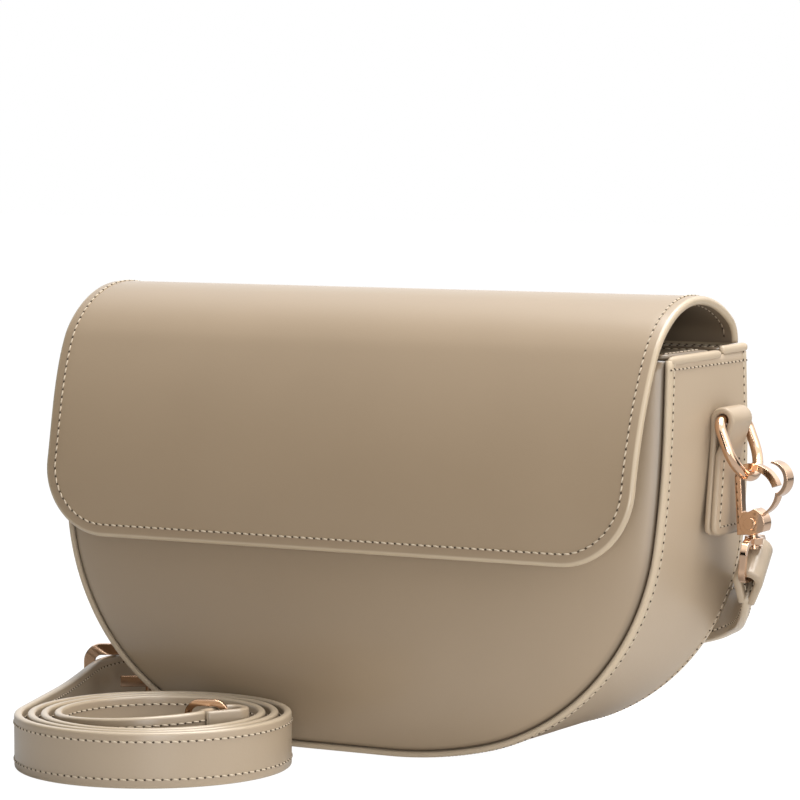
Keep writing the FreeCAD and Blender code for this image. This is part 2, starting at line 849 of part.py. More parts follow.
def make_lever(label, frame):
    """Trigger: two cheeks on the rivet, a bridge, a thin bowed arm and a thumb leaf."""
    half = size("hook_wire") / 2
    pivot = -size("pivot_drop")
    inner = size("block_radius") + size("lever_play")
    outer = inner + size("lever_bridge")
    arm = size("lever_arm")
    body = add_body(label)
    cheeks = add_sketch(body, "XZ_Plane", "cheeks")
    draw_chain(cheeks, joined([
        arc_piece(0, pivot, outer, -30, 70),
        arc_piece(0, pivot, size("block_radius"), 100, 270),
    ]))
    pad(body, cheeks, "Sizes.hook_wall + 2 * Sizes.lever_play + 2 * Sizes.lever_wall")
    slot = add_sketch(body, "XZ_Plane", "slot")
    slot.addGeometry(Part.Circle(Vec(0, pivot, 0), Vec(0, 0, 1), inner), False)
    cut = body.newObject("PartDesign::Pocket", f"{label}_slot")
    cut.Profile = slot
    cut.SideType = "Symmetric"
    cut.setExpression("Length", "Sizes.hook_wall + 2 * Sizes.lever_play")
    bore = add_sketch(body, "XZ_Plane", "bore")
    draw_circle(bore, 0, pivot, "pivot_radius")
    pocket_through(body, bore)
    tip = on_circle(0, size("bow_radius") - size("bow_reach"), size("bow_reach"), size("bow_tip_angle"))
    root = on_circle(0, pivot, (inner + outer) / 2, 40)
    end = (tip[0], tip[1] - size("lever_play") - arm / 2 - half)
    middle = ((root[0] + end[0]) / 2 + size("lever_bow"), (root[1] + end[1]) / 2)
    bow = add_sketch(body, "XZ_Plane", "arm")
    shift = [(x + arm, z) for x, z in (end, middle, root)]
    draw_chain(bow, joined([("arc", root, middle, end), ("arc", *shift)]))
    pad(body, bow, "Sizes.hook_wall")
    leaf = add_sketch(body, "XZ_Plane", "leaf")
    rise = size("leaf_rise")
    heel = (end[0] + arm, end[1] - arm)
    crown = (heel[0] + rise, heel[1] + 0.62 * size("leaf_length"))
    edge = (heel[0] - size("leaf_curl"), heel[1] + size("leaf_length"))
    under_edge = (edge[0] - arm / 2, edge[1] - arm / 2)
    under_crown = (crown[0] - arm, crown[1] - arm / 4)
    under_heel = (heel[0] - arm / 4, heel[1] + arm)
    draw_chain(leaf, joined([("arc", heel, crown, edge), ("arc", under_edge, under_crown, under_heel)]))
    pad(body, leaf, "Sizes.hook_wall + 2 * Sizes.lever_wall")
    body.Placement = frame


def make_rivet(label, frame):
    """Rivet with a head at each end."""
    body = add_body(label)
    shank = add_sketch(body, "YZ_Plane", "section")
    reach = size("hook_wall") / 2 + size("lever_play") + size("lever_wall")
    end = reach + size("rivet_head_wall")
    pin = size("pivot_radius") - size("layer_gap")
    head = size("rivet_head")
    gap = size("layer_gap")
    axis = -size("pivot_drop")
    draw_polygon(shank, [
        (-end, axis), (-end, axis + head), (-reach - gap, axis + head), (-reach - gap, axis + pin),
        (reach + gap, axis + pin), (reach + gap, axis + head), (end, axis + head), (end, axis),
    ])
    turned = body.newObject("PartDesign::Revolution", f"{label}_turned")
    turned.Profile = shank
    line = add_axis(body, "YZ_Plane", (-end, axis), (end, axis))
    turned.ReferenceAxis = (line, ["Edge1"])
    turned.Angle = 360
    body.Placement = frame


def add_axis(body, role, begin, end):
    """Sketch that holds one line, to turn a profile about."""
    line = add_sketch(body, role, "axis")
    line.addGeometry(Part.LineSegment(Vec(*begin, 0), Vec(*end, 0)), False)
    return line


def make_eye(label, frame):
    """Swivel eye: a rounded oblong loop with a bored boss on its upper bar."""
    body = add_body(label)
    wire = size("eye_wire")
    half = size("eye_inner_width") / 2
    top = eye_top()
    low = top - 2 * wire - size("eye_inner_height")
    loop = add_sketch(body, "YZ_Plane", "loop")
    draw_rounded(loop, -half - wire, low, half + wire, top, size("eye_corner") + wire)
    draw_rounded(loop, -half, low + wire, half, top - wire, size("eye_corner"))
    pad(body, loop, "Sizes.eye_wire")
    boss = add_sketch(body, "XY_Plane", "boss", top)
    draw_circle(boss, 0, 0, "eye_boss")
    pad(body, boss, "Sizes.eye_wire", symmetric=False, reverse=True)
    hole = add_sketch(body, "XY_Plane", "hole", top)
    hole.addGeometry(Part.Circle(Vec(0, 0, 0), Vec(0, 0, 1), size("post_radius") + size("eye_play")), False)
    cut = body.newObject("PartDesign::Pocket", f"{label}_hole")
    cut.Profile = hole
    cut.setExpression("Length", "Sizes.eye_wire + Sizes.lever_play")
    body.Placement = frame


def draw_rounded(sketch, x_from, y_from, x_to, y_to, radius):
    """Rectangle with rounded corners."""
    draw_chain(sketch, joined([
        arc_piece(x_to - radius, y_from + radius, radius, -90, 0),
        arc_piece(x_to - radius, y_to - radius, radius, 0, 90),
        arc_piece(x_from + radius, y_to - radius, radius, 90, 180),
        arc_piece(x_from + radius, y_from + radius, radius, 180, 270),
    ]))


def make_spring(label, frame):
    """Ring of spring wire round the rivet, in the block's recess under the lever."""
    body = add_body(label)
    section = add_sketch(body, "YZ_Plane", "wire")
    axis = -size("pivot_drop")
    middle = size("spring_recess") / 2 - size("hook_wall") / 2
    level = axis + (size("pivot_radius") + size("spring_radius")) / 2
    draw_circle(section, middle, level, "spring_wire")
    turned = body.newObject("PartDesign::Revolution", f"{label}_turned")
    turned.Profile = section
    line = add_axis(body, "YZ_Plane", (-1.0, axis), (1.0, axis))
    turned.ReferenceAxis = (line, ["Edge1"])
    turned.Angle = 360
    body.Placement = frame


# Strap ends folded round the eyes
def make_strap_loop(label, frame):
    """Fold of the strap round an eye's bar: a teardrop whose two layers meet below."""
    body = add_body(label)
    wall = size("strap_wall")
    inner = size("loop_inner_radius")
    outer = inner + wall
    centre = eye_bar() + inner - size("eye_wire") / 2 + size("lever_play")
    reach = size("loop_reach")
    lean = math.degrees(math.asin(inner / reach))
    end = centre - reach
    foot = end - wall
    sketch = add_sketch(body, "XZ_Plane", "fold")
    side_x = wall / math.cos(math.radians(lean))
    draw_chain(sketch, joined([
        arc_piece(0, centre, outer, -lean, 180 + lean),
        ("line", (-side_x, end), (-wall, foot)),
        ("line", (wall, foot), (side_x, end)),
    ]))
    draw_chain(sketch, joined([
        arc_piece(0, centre, inner, -lean, 180 + lean),
        ("line", (0.0, end), on_circle(0, centre, inner, -lean)),
    ]))
    pad(body, sketch, "Sizes.strap_width")
    body.Placement = frame


# The strap's way
def rounded_way(points, radii):
    """Stations along a rounded way: (point, heading in degrees), about every ten millimetres."""
    stations = []
    before = points[0]
    for corner, after, radius in zip(points[1:-1], points[2:], radii):
        turn_in = math.atan2(corner[1] - before[1], corner[0] - before[0])
        turn_out = math.atan2(after[1] - corner[1], after[0] - corner[0])
        turn = (turn_out - turn_in + math.pi) % (2 * math.pi) - math.pi
        cut = radius * abs(math.tan(turn / 2))
        entry = (corner[0] - cut * math.cos(turn_in), corner[1] - cut * math.sin(turn_in))
        stations += straight_stations(before, entry)[1 if stations else 0:]
        side = math.copysign(math.pi / 2, turn)
        centre = (entry[0] + radius * math.cos(turn_in + side), entry[1] + radius * math.sin(turn_in + side))
        steps = max(2, math.ceil(abs(turn) * radius / 10))
        for step in range(1, steps + 1):
            heading = turn_in + turn * step / steps
            angle = heading + side
            spot = (centre[0] - radius * math.cos(angle), centre[1] - radius * math.sin(angle))
            stations.append((spot, heading))
        before = stations[-1][0]
    return stations + straight_stations(before, points[-1])[1:]


def straight_stations(begin, end):
    """Stations of a straight run, both ends included."""
    heading = math.atan2(end[1] - begin[1], end[0] - begin[0])
    length = math.dist(begin, end)
    steps = max(1, round(length / 20))
    stations = []
    for step in range(steps + 1):
        share = step / steps
        spot = (begin[0] + (end[0] - begin[0]) * share, begin[1] + (end[1] - begin[1]) * share)
        stations.append((spot, heading))
    return stations


def band_section(centre, along, across):
    """Closed outline of the strap's section at a point of its way."""
    along = Vec(*along).normalize()
    across = Vec(*across)
    across = (across - along * across.dot(along)).normalize()
    face = along.cross(across) * (size("strap_wall") / 2)
    edge = across * (size("strap_width") / 2)
    middle = Vec(*centre)
    corners = [middle + face + edge, middle + face - edge, middle - face - edge, middle - face + edge]
    return Part.makePolygon(corners + corners[:1])


def make_band(label, sections):
    """Solid of the strap through its sections."""
    band = doc.addObject("Part::Feature", label)
    band.Shape = Part.makeLoft(sections, True, True)
    middles = [section.BoundBox.Center for section in sections]
    length = sum((b - a).Length for a, b in zip(middles, middles[1:]))
    full = length * size("strap_width") * size("strap_wall")
    print(f"{label}: {length:.1f} long, volume {band.Shape.Volume / full:.3f} of section times length")
    band.Label = label
    sub_parts.append(band)
    return band


def coil_point(heading_turn):
    """Centre line of the coil after a number of degrees from its start."""
    radius = size("coil_radius")
    shrink = size("coil_pitch") / 2
    start = size("coil_start")
    x, y = size("coil_x"), size("coil_y") + middle_y
    number = min(int(heading_turn // 180), int(size("coil_half_turns")) - 1)
    for k in range(number):
        flip = math.radians(start + 180 * (k + 1))
        x += shrink * math.cos(flip)
        y += shrink * math.sin(flip)
    here = radius - shrink * number
    angle = math.radians(start + heading_turn)
    return (x + here * math.cos(angle), y + here * math.sin(angle)), (x, y), here


def make_coil():
    """Coil of half-turn arcs, each a half pitch tighter than the last, standing on its edge."""
    body = add_body("strap_coil")
    half = size("strap_wall") / 2
    sketch = add_sketch(body, "XY_Plane", "spiral")
    outer, inner = [], []
    for k in range(int(size("coil_half_turns"))):
        _, (x, y), radius = coil_point(180 * k)
        begin = size("coil_start") + 180 * k
        outer.append(arc_piece(x, y, radius + half, begin, begin + 180))
        inner.append(arc_piece(x, y, radius - half, begin, begin + 180))
    draw_chain(sketch, joined(outer + reversed_chain(inner)))
    pad(body, sketch, "Sizes.strap_width", symmetric=False)
    last = int(180 * size("coil_half_turns"))
    least = math.inf
    for outside in range(0, last - 360, 6):
        for inside in range(outside + 340, min(outside + 380, last), 4):
            least = min(least, math.dist(coil_point(outside)[0], coil_point(inside)[0]))
    free = least - size("strap_wall")
    print(f"coil: radii {size('coil_radius')} down to {coil_point(last)[2]}, least gap {free:.2f}")


def end_lift():
    """How far the strap's end stands off the floor, so that the eye round it does too."""
    return size("eye_inner_width") / 2 + size("eye_wire") - size("strap_width") / 2 + size("layer_gap")


def end_stations():
    """Stations of the strap's inner end, from the coil to its fold."""
    last = 180 * size("coil_half_turns")
    start, _, _ = coil_point(last)
    radius = size("end_radius")
    heading = math.radians(size("coil_start") + last + 90)
    centre = (start[0] - radius * math.sin(heading), start[1] + radius * math.cos(heading))
    steps = 14
    stations = []
    for step in range(steps + 1):
        angle = heading + math.radians(size("end_turn")) * step / steps
        stations.append(((centre[0] + radius * math.sin(angle), centre[1] - radius * math.cos(angle)), angle))
    (x, y), angle = stations[-1]
    run = size("end_run")
    stations.append(((x + run * math.cos(angle), y + run * math.sin(angle)), angle))
    return stations


def end_loop_frame():
    """Place of the bar in the strap's inner fold, and the heading of the strap there in degrees."""
    (x, y), angle = end_stations()[-1]
    reach = eye_bar() - fold_foot()
    level = end_lift() + size("strap_width") / 2
    return Vec(x + reach * math.cos(angle), y + reach * math.sin(angle), level), math.degrees(angle)


def fold_foot():
    """Lower end of a fold, along its clasp."""
    centre = eye_bar() + size("loop_inner_radius") - size("eye_wire") / 2 + size("lever_play")
    return centre - size("loop_reach") - size("strap_wall")


def make_strap_end():
    """Strap from the coil to its inner fold, rising as it goes."""
    stations = end_stations()
    sections = []
    for number, ((x, y), angle) in enumerate(stations):
        share = min(1.0, number / (len(stations) - 2))
        rise = end_lift() * share * share * (3 - 2 * share)
        centre = (x, y, size("strap_width") / 2 + rise)
        sections.append(band_section(centre, (math.cos(angle), math.sin(angle), 0), (0, 0, 1)))
    make_band("strap_end_run", sections)
    bar, heading = end_loop_frame()
    flat = FreeCAD.Rotation(Vec(0, 0, 1), heading)
    lay = flat * FreeCAD.Rotation(Vec(0, 1, 0), 90) * FreeCAD.Rotation(Vec(0, 0, 1), 90)
    make_strap_loop("strap_loop_left", FreeCAD.Placement(bar - lay.multVec(Vec(0, 0, eye_bar())), lay))


# Corners of the strap's way along the floor, as shares of the half width and of the back's reach
FLOOR_WAY = ((-0.08, 1.393), (-0.808, 1.476), (-1.023, 0.0))
FLOOR_RADII = (38.0, 60.0)
# Stations of the riser, as shares of the half width, the back's reach and the fold's height
RISER_WAY = (
    (1.0, 0.6, 0.962), (0.904, 1.08, 0.862), (0.715, 1.262, 0.736),
    (0.477, 1.357, 0.519), (0.215, 1.393, 0.301),
)
RISER_TWIST = ((-0.2, 0.7, 0.5), (-0.2, 0.4, 0.85), (-0.1, 0.12, 0.95), (0.0, 0.0, 1.0), (0.0, 0.0, 1.0))


def on_plan(across, behind):
    """Point of the floor from shares of the half width and of the back's reach."""
    return (across * size("bag_width") / 2, behind * back_reach + middle_y)


def floor_stations():
    """Stations from behind the bag to the coil's start."""
    start, _, _ = coil_point(0)
    points = [on_plan(*shares) for shares in FLOOR_WAY] + [start]
    return rounded_way(points, FLOOR_RADII)


def buckle_lift():
    """How far the strap stands off the floor inside the buckle."""
    return size("buckle_foot") + 2 * size("buckle_play")


def buckle_spot():
    """Station at which the strap goes through the buckle, the nearest one to its corner."""
    corner = Vec(*on_plan(*FLOOR_WAY[-1]), 0)
    return min(floor_stations(), key=lambda station: Vec(*station[0], 0).distanceToPoint(corner))


def make_floor_run():
    """Strap on its edge from the riser to the coil, lifted where it goes through the buckle."""
    (bx, by), _ = buckle_spot()
    sections = []
    for (x, y), heading in floor_stations():
        near = max(0.0, 1 - math.dist((x, y), (bx, by)) / 75)
        rise = buckle_lift() * min(1.0, 1.15 * near * near * (3 - 2 * near))
        centre = (x, y, size("strap_width") / 2 + rise)
        sections.append(band_section(centre, (math.cos(heading), math.sin(heading), 0), (0, 0, 1)))
    make_band("strap_floor_run", sections)


def smooth_way(spots, leave, arrive):
    """Cubic curve through spots: four points a span, each with its direction and its share of the span."""
    slopes = []
    for number, spot in enumerate(spots):
        back = spots[max(number - 1, 0)]
        ahead = spots[min(number + 1, len(spots) - 1)]
        slopes.append((ahead - back) * 0.5)
    slopes[0] = leave * (spots[1] - spots[0]).Length
    slopes[-1] = arrive * (spots[-1] - spots[-2]).Length
    way = []
    for number in range(len(spots) - 1):
        for step in range(4):
            t = step / 4
            spot = (spots[number] * (2 * t ** 3 - 3 * t ** 2 + 1) + slopes[number] * (t ** 3 - 2 * t ** 2 + t)
                    + spots[number + 1] * (3 * t ** 2 - 2 * t ** 3) + slopes[number + 1] * (t ** 3 - t ** 2))
            along = ((spots[number + 1] - spots[number]) * (6 * t - 6 * t ** 2)
                     + slopes[number] * (3 * t ** 2 - 4 * t + 1) + slopes[number + 1] * (3 * t ** 2 - 2 * t))
            way.append((spot, along, number, 3 * t ** 2 - 2 * t ** 3))
    way.append((spots[-1], arrive, len(spots) - 2, 1.0))
    return way


def make_riser(fold_frame):
    """Strap from the right clasp's fold down behind the bag, turning from flat to its edge."""
    top = fold_frame.multVec(Vec(0, 0, fold_foot() - size("fold_gap")))
    down = fold_frame.Rotation.multVec(Vec(0, 0, -1))
    wide = fold_frame.Rotation.multVec(Vec(0, 1, 0))
    start = Vec(*on_plan(*FLOOR_WAY[0]), size("strap_width") / 2)
    spots = [top] + [Vec(*on_plan(x, y), z * top.z) for x, y, z in RISER_WAY] + [start]
    twists = [wide] + [Vec(*twist) for twist in RISER_TWIST] + [Vec(0, 0, 1)]
    sections = []
    for spot, along, number, share in smooth_way(spots, down, Vec(-1, 0, 0)):
        twist = twists[number] * (1 - share) + twists[number + 1] * share
        sections.append(band_section(spot, along, twist))
    make_band("strap_riser", sections)


# The pin buckle
def make_buckle():
    """Frame with a round heel bar, and the prong that turns on it."""
    (x, y), _ = buckle_spot()
    length = size("buckle_length")
    rim = size("buckle_rim")
    foot = size("buckle_foot")
    wall = size("buckle_wall")
    inner_height = size("strap_width") + 2 * size("buckle_play")
    top = foot + inner_height + rim
    left = -rim - size("buckle_past_strap") - size("strap_wall")
    right = left + length
    heel = right - size("heel_radius")
    corner = size("buckle_corner")
    turn = FreeCAD.Rotation(Vec(0, 0, 1), size("buckle_turn"))
    spot = Vec(x, y, size("buckle_play"))
    body = add_body("buckle_frame")
    sketch = add_sketch(body, "XZ_Plane", "frame")
    draw_rounded(sketch, left, 0.0, right, top, corner)
    draw_rounded(sketch, left + rim, foot, right - 2 * size("heel_radius"), top - rim, corner - rim)
    pad(body, sketch, "Sizes.buckle_wall")
    trim = add_sketch(body, "XZ_Plane", "heel_room")
    draw_box(trim, right - 2 * size("heel_radius"), corner, right + wall, top - corner)
    pocket_through(body, trim)
    bar = add_sketch(body, "XY_Plane", "heel", corner - wall)
    draw_circle(bar, heel, 0, "heel_radius")
    pad(body, bar, f"{top - 2 * corner + 2 * wall!r}", symmetric=False)
    body.Placement = FreeCAD.Placement(spot, turn)

    prong = add_body("buckle_prong")
    clear = size("buckle_play")
    hole = size("heel_radius") + clear
    eye = hole + size("prong_wall")
    plan = add_sketch(prong, "XY_Plane", "plan")
    reach = -size("prong_length")
    front = -eye
    behind = front + size("prong_wall")
    root = math.sqrt(eye ** 2 - behind ** 2)
    draw_chain(plan, joined([
        ("line", (reach, front), (0.0, front)),
        arc_piece(0, 0, eye, -90, 180 - math.degrees(math.asin(behind / eye))),
        ("line", (-root, behind), (reach, behind)),
    ]))
    plan.addGeometry(Part.Circle(Vec(0, 0, 0), Vec(0, 0, 1), hole), False)
    pad(prong, plan, "Sizes.prong_width")
    level = size("buckle_play") + foot + inner_height / 2
    base = spot + turn.multVec(Vec(heel, 0, 0)) + Vec(0, 0, level - spot.z)
    prong.Placement = FreeCAD.Placement(base, turn)


def check_and_export():
    """Stop on any failed object, then write one file for each sub-part."""
    doc.recompute()
    for item in doc.Objects:
        if "Invalid" in item.State or "Error" in item.State:
            raise RuntimeError(f"{item.Label} failed: {item.State}")
    for item in sub_parts:
        shape = item.Shape
        if shape.isNull() or not shape.isValid() or not shape.Solids:
            raise RuntimeError(f"{item.Label} has no valid solid")
    os.makedirs("parts", exist_ok=True)
    for item in sub_parts:
        item.Shape.exportStep(f"parts/{item.Label}.step")
    print(f"{len(sub_parts)} sub-parts written")


make_gusset()
make_front()
make_back()
make_lining()
make_top_strips()
make_flap()
make_magnets()
for hand_name, hand_side in (("right", 1), ("left", -1)):
    make_tab(f"side_tab_{hand_name}", hand_side)
    make_ring(f"d_ring_{hand_name}", hand_side)
    hook_frame, eye_frame = clasp_frames(hand_name)
    make_hook(f"clasp_hook_{hand_name}", hook_frame)
    make_lever(f"clasp_lever_{hand_name}", hook_frame)
    make_rivet(f"clasp_rivet_{hand_name}", hook_frame)
    make_spring(f"clasp_spring_{hand_name}", hook_frame)
    make_eye(f"clasp_eye_{hand_name}", eye_frame)
right_eye = clasp_frames("right")[1]
right_fold = right_eye * about(eye_bar(), size("fold_tilt"))
make_strap_loop("strap_loop_right", right_fold)
make_riser(right_fold)
make_floor_run()
make_coil()
make_strap_end()
make_buckle()
check_and_export()
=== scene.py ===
"""Looks of the saddle handbag: leather shells, stitches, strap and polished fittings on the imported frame."""
import logging
import math
from dataclasses import dataclass, field
from enum import Enum
from typing import Sequence

import bpy
import numpy as np
from mathutils import Matrix, Vector


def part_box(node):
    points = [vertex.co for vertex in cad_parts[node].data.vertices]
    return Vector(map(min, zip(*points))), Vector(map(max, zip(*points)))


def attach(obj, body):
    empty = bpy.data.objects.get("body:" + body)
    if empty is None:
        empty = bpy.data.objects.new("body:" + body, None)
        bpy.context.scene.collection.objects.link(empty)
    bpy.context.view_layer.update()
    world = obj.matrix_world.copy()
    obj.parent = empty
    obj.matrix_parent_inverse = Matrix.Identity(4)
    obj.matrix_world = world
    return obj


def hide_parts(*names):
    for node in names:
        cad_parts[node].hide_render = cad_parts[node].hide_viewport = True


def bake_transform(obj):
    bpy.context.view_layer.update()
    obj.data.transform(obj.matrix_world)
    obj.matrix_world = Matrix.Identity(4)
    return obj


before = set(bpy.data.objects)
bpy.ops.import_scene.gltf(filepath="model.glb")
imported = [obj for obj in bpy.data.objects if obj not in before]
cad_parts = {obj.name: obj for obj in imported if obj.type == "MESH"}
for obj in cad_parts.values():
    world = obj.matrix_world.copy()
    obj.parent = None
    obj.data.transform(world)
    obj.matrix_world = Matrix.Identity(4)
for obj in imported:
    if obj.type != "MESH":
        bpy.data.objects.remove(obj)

log = logging.getLogger("saddle_handbag")
MM = 0.001
# Scale of the directions that are resampled together with a line
TINY = 1e-9
# Shortest length that is divided by
LEAST = 1e-12
SIDES = ((-1, "left"), (1, "right"))
# Distance of both rings and their tabs behind the middle of the bag
RING_BEHIND = 9 * MM
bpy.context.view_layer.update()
Triple = tuple[float, float, float]


class Bodies(Enum):
    """Moving bodies of the frame that pieces ride on."""

    BAG = "bag"
    FLAP = "flap"
    RING_RIGHT = "ring_right"
    EYE_RIGHT = "eye_right"


class Slots(Enum):
    """Material slots of the record."""

    TAUPE = "taupe_leather"
    GUSSET = "gusset_leather"
    STRAP = "strap_leather"


# Meshes from arrays


def add_mesh(name: str, points: np.ndarray, quads: np.ndarray, caps: Sequence[np.ndarray] = (),
             uv: np.ndarray | None = None, wear_and_shade: np.ndarray | None = None,
             smooth: bool = True) -> bpy.types.Object:
    """Mesh object from whole arrays.

    Args:
        name: Name of the piece.
        points: (n, 3) places in metres.
        quads: (m, 4) corner numbers.
        caps: Corner numbers of the many-sided faces that close the ends.
        uv: (n, 2) map, one pair a point.
        wear_and_shade: (n,) share of the second tone, 0 to 1: rubbed edges, and painted shade in the hollow
            beside a panel's rim.
        smooth: Whether the faces are shaded smooth.

    Returns:
        The new object, linked to the scene.
    """
    mesh = bpy.data.meshes.new(name)
    loops = np.concatenate([quads.reshape(-1), *caps]).astype(np.int32)
    sides = np.array([len(cap) for cap in caps], int)
    totals = np.concatenate([np.full(len(quads), 4), sides]).astype(np.int32)
    starts = np.concatenate([[0], np.cumsum(totals)[:-1]]).astype(np.int32)
    mesh.vertices.add(len(points))
    mesh.vertices.foreach_set("co", points.astype(np.float32).reshape(-1))
    mesh.loops.add(len(loops))
    mesh.loops.foreach_set("vertex_index", loops)
    mesh.polygons.add(len(totals))
    mesh.polygons.foreach_set("loop_start", starts)
    mesh.polygons.foreach_set("loop_total", totals)
    mesh.update(calc_edges=True)
    if uv is not None:
        layer = mesh.uv_layers.new(name="map")
        layer.uv.foreach_set("vector", uv[loops].astype(np.float32).reshape(-1))
    wear_and_shade_values = np.zeros(len(points)) if wear_and_shade is None else wear_and_shade
    attribute = mesh.attributes.new("wear_and_shade", "FLOAT", "POINT")
    attribute.data.foreach_set("value", wear_and_shade_values.astype(np.float32))
    mesh.polygons.foreach_set("use_smooth", np.full(len(totals), smooth))
    mesh.validate()
    item = bpy.data.objects.new(name, mesh)
    bpy.context.scene.collection.objects.link(item)
    return item


def grid_quads(rows: int, columns: int, wrap_columns: bool = False, start: int = 0,
               flip: bool = False) -> np.ndarray:
    """Corner numbers of a grid of points, row by row.

    Args:
        rows: Number of rows.
        columns: Number of columns.
        wrap_columns: Whether the last column joins the first.
        start: Number of the first point.
        flip: Whether the faces are turned over.

    Returns:
        (m, 4) array of corner numbers.
    """
    last = columns if wrap_columns else columns - 1
    a, b = (part.ravel() for part in np.meshgrid(np.arange(rows - 1), np.arange(last), indexing="ij"))
    here, below, beside = a * columns, (a + 1) * columns, (b + 1) % columns
    quads = np.stack([here + b, here + beside, below + beside, below + b], axis=1)
    return start + (quads[:, ::-1] if flip else quads)


def circle(turn: np.ndarray) -> np.ndarray:
    """Points on the unit circle.

    Args:
        turn: Angles from the first axis.

    Returns:
        (n, 2) points.
    """
    return np.stack([np.cos(turn), np.sin(turn)], axis=-1)


def rounded_section(width: float, wall: float, radius: float, per_corner: int = 5,
                    per_side: int = 3) -> np.ndarray:
    """Closed outline of a flat bar with rounded edges: four quarter circles joined by straight sides.

    Args:
        width: Width along the first axis.
        wall: Thickness along the second axis.
        radius: Radius of the edges.
        per_corner: Points on each quarter circle.
        per_side: Points added on each broad side.

    Returns:
        (k, 2) points, counter-clockwise.
    """
    turn = np.linspace(0, np.pi / 2, per_corner)
    half_w, half_t = width / 2 - radius, wall / 2 - radius
    parts = []
    for quarter, (sx, sy) in enumerate(((1, -1), (1, 1), (-1, 1), (-1, -1))):
        angle = turn + (quarter - 1) * np.pi / 2
        arc = np.array([sx * half_w, sy * half_t]) + radius * circle(angle)
        parts.append(arc)
        if quarter in (1, 3):
            share = np.linspace(0, 1, per_side + 2)[1:-1, None]
            after = np.array([-sx * half_w, arc[-1, 1]])
            parts.append(arc[-1] * (1 - share) + after * share)
    return np.concatenate(parts)


def unit(vectors: np.ndarray) -> np.ndarray:
    """Vectors of length one.

    Args:
        vectors: (n, 3) or (n, 2) vectors.

    Returns:
        The same directions, each of length one.
    """
    return vectors / np.maximum(np.linalg.norm(vectors, axis=-1, keepdims=True), LEAST)


def places(x: np.ndarray | float, y: np.ndarray | float, z: np.ndarray | float) -> np.ndarray:
    """Points from their three coordinates, with single values spread over the rest.

    Args:
        x: Places along X.
        y: Places along Y.
        z: Heights.

    Returns:
        (..., 3) points.
    """
    return np.stack(np.broadcast_arrays(x, y, z), axis=-1)


def travelled(path: np.ndarray) -> np.ndarray:
    """Distance along a line at each of its points.

    Args:
        path: (n, d) points.

    Returns:
        (n,) distances, from 0.
    """
    return np.concatenate([[0], np.cumsum(np.linalg.norm(np.diff(path, axis=0), axis=1))])


def ease(share: np.ndarray) -> np.ndarray:
    """Smooth step: three squares less two cubes, held at 0 and 1 outside.

    Args:
        share: Place between the start, 0, and the end, 1.

    Returns:
        The eased share.
    """
    held = np.clip(share, 0, 1)
    return held ** 2 * (3 - 2 * held)


def at_distance(at: np.ndarray, step: np.ndarray, values: np.ndarray) -> np.ndarray:
    """Values of a line at given distances along it.

    Args:
        at: Distances wanted.
        step: (n,) distance at each point of the line.
        values: (n, d) values there.

    Returns:
        (..., d) values in between.
    """
    return np.stack([np.interp(at, step, column) for column in values.T], axis=-1)


def resample(path: np.ndarray, count: int) -> np.ndarray:
    """The same line with evenly spaced points.

    Args:
        path: (n, d) points.
        count: Number of points wanted.

    Returns:
        (count, d) points, evenly spaced along the line.
    """
    step = travelled(path)
    return at_distance(np.linspace(0, step[-1], count), step, path)


def moved(points: np.ndarray, place: Matrix) -> np.ndarray:
    """Points carried along by a placement.

    Args:
        points: (n, 3) points.
        place: Turn and shift.

    Returns:
        (n, 3) points.
    """
    return points @ np.array(place.to_3x3()).T + np.array(place.translation)


def sweep(name: str, path: np.ndarray, across: np.ndarray | Triple, section: np.ndarray,
          wear_and_shade: np.ndarray | None = None) -> bpy.types.Object:
    """Ribbon or bar: each point is the path's point plus the section's two sizes along across and face.

    Args:
        name: Name of the piece.
        path: (n, 3) centre line.
        across: Direction of the section's first axis, one for all or (n, 3).
        section: (k, 2) outline, or (n, k, 2) where it changes along the path.
        wear_and_shade: (k,) share of the second tone at the section's points, here rubbed edges.

    Returns:
        The closed mesh object.
    """
    along = unit(np.gradient(path, axis=0))
    across = np.broadcast_to(across, path.shape)
    across = unit(across - along * np.sum(across * along, axis=1, keepdims=True))
    face = np.cross(along, across)
    shape = np.broadcast_to(section, (len(path), *section.shape[-2:]))
    points = path[:, None] + across[:, None] * shape[..., :1] + face[:, None] * shape[..., 1:]
    rows, columns = points.shape[:2]
    uv = np.stack(np.broadcast_arrays(travelled(path)[:, None], shape[..., 0]), axis=-1).reshape(-1, 2)
    caps = (np.arange(columns)[::-1], np.arange(columns) + (rows - 1) * columns)
    wear_and_shade_values = None if wear_and_shade is None else np.tile(wear_and_shade, rows)
    return add_mesh(name, points.reshape(-1, 3), grid_quads(rows, columns, True), caps, uv, wear_and_shade_values)


# Finishes


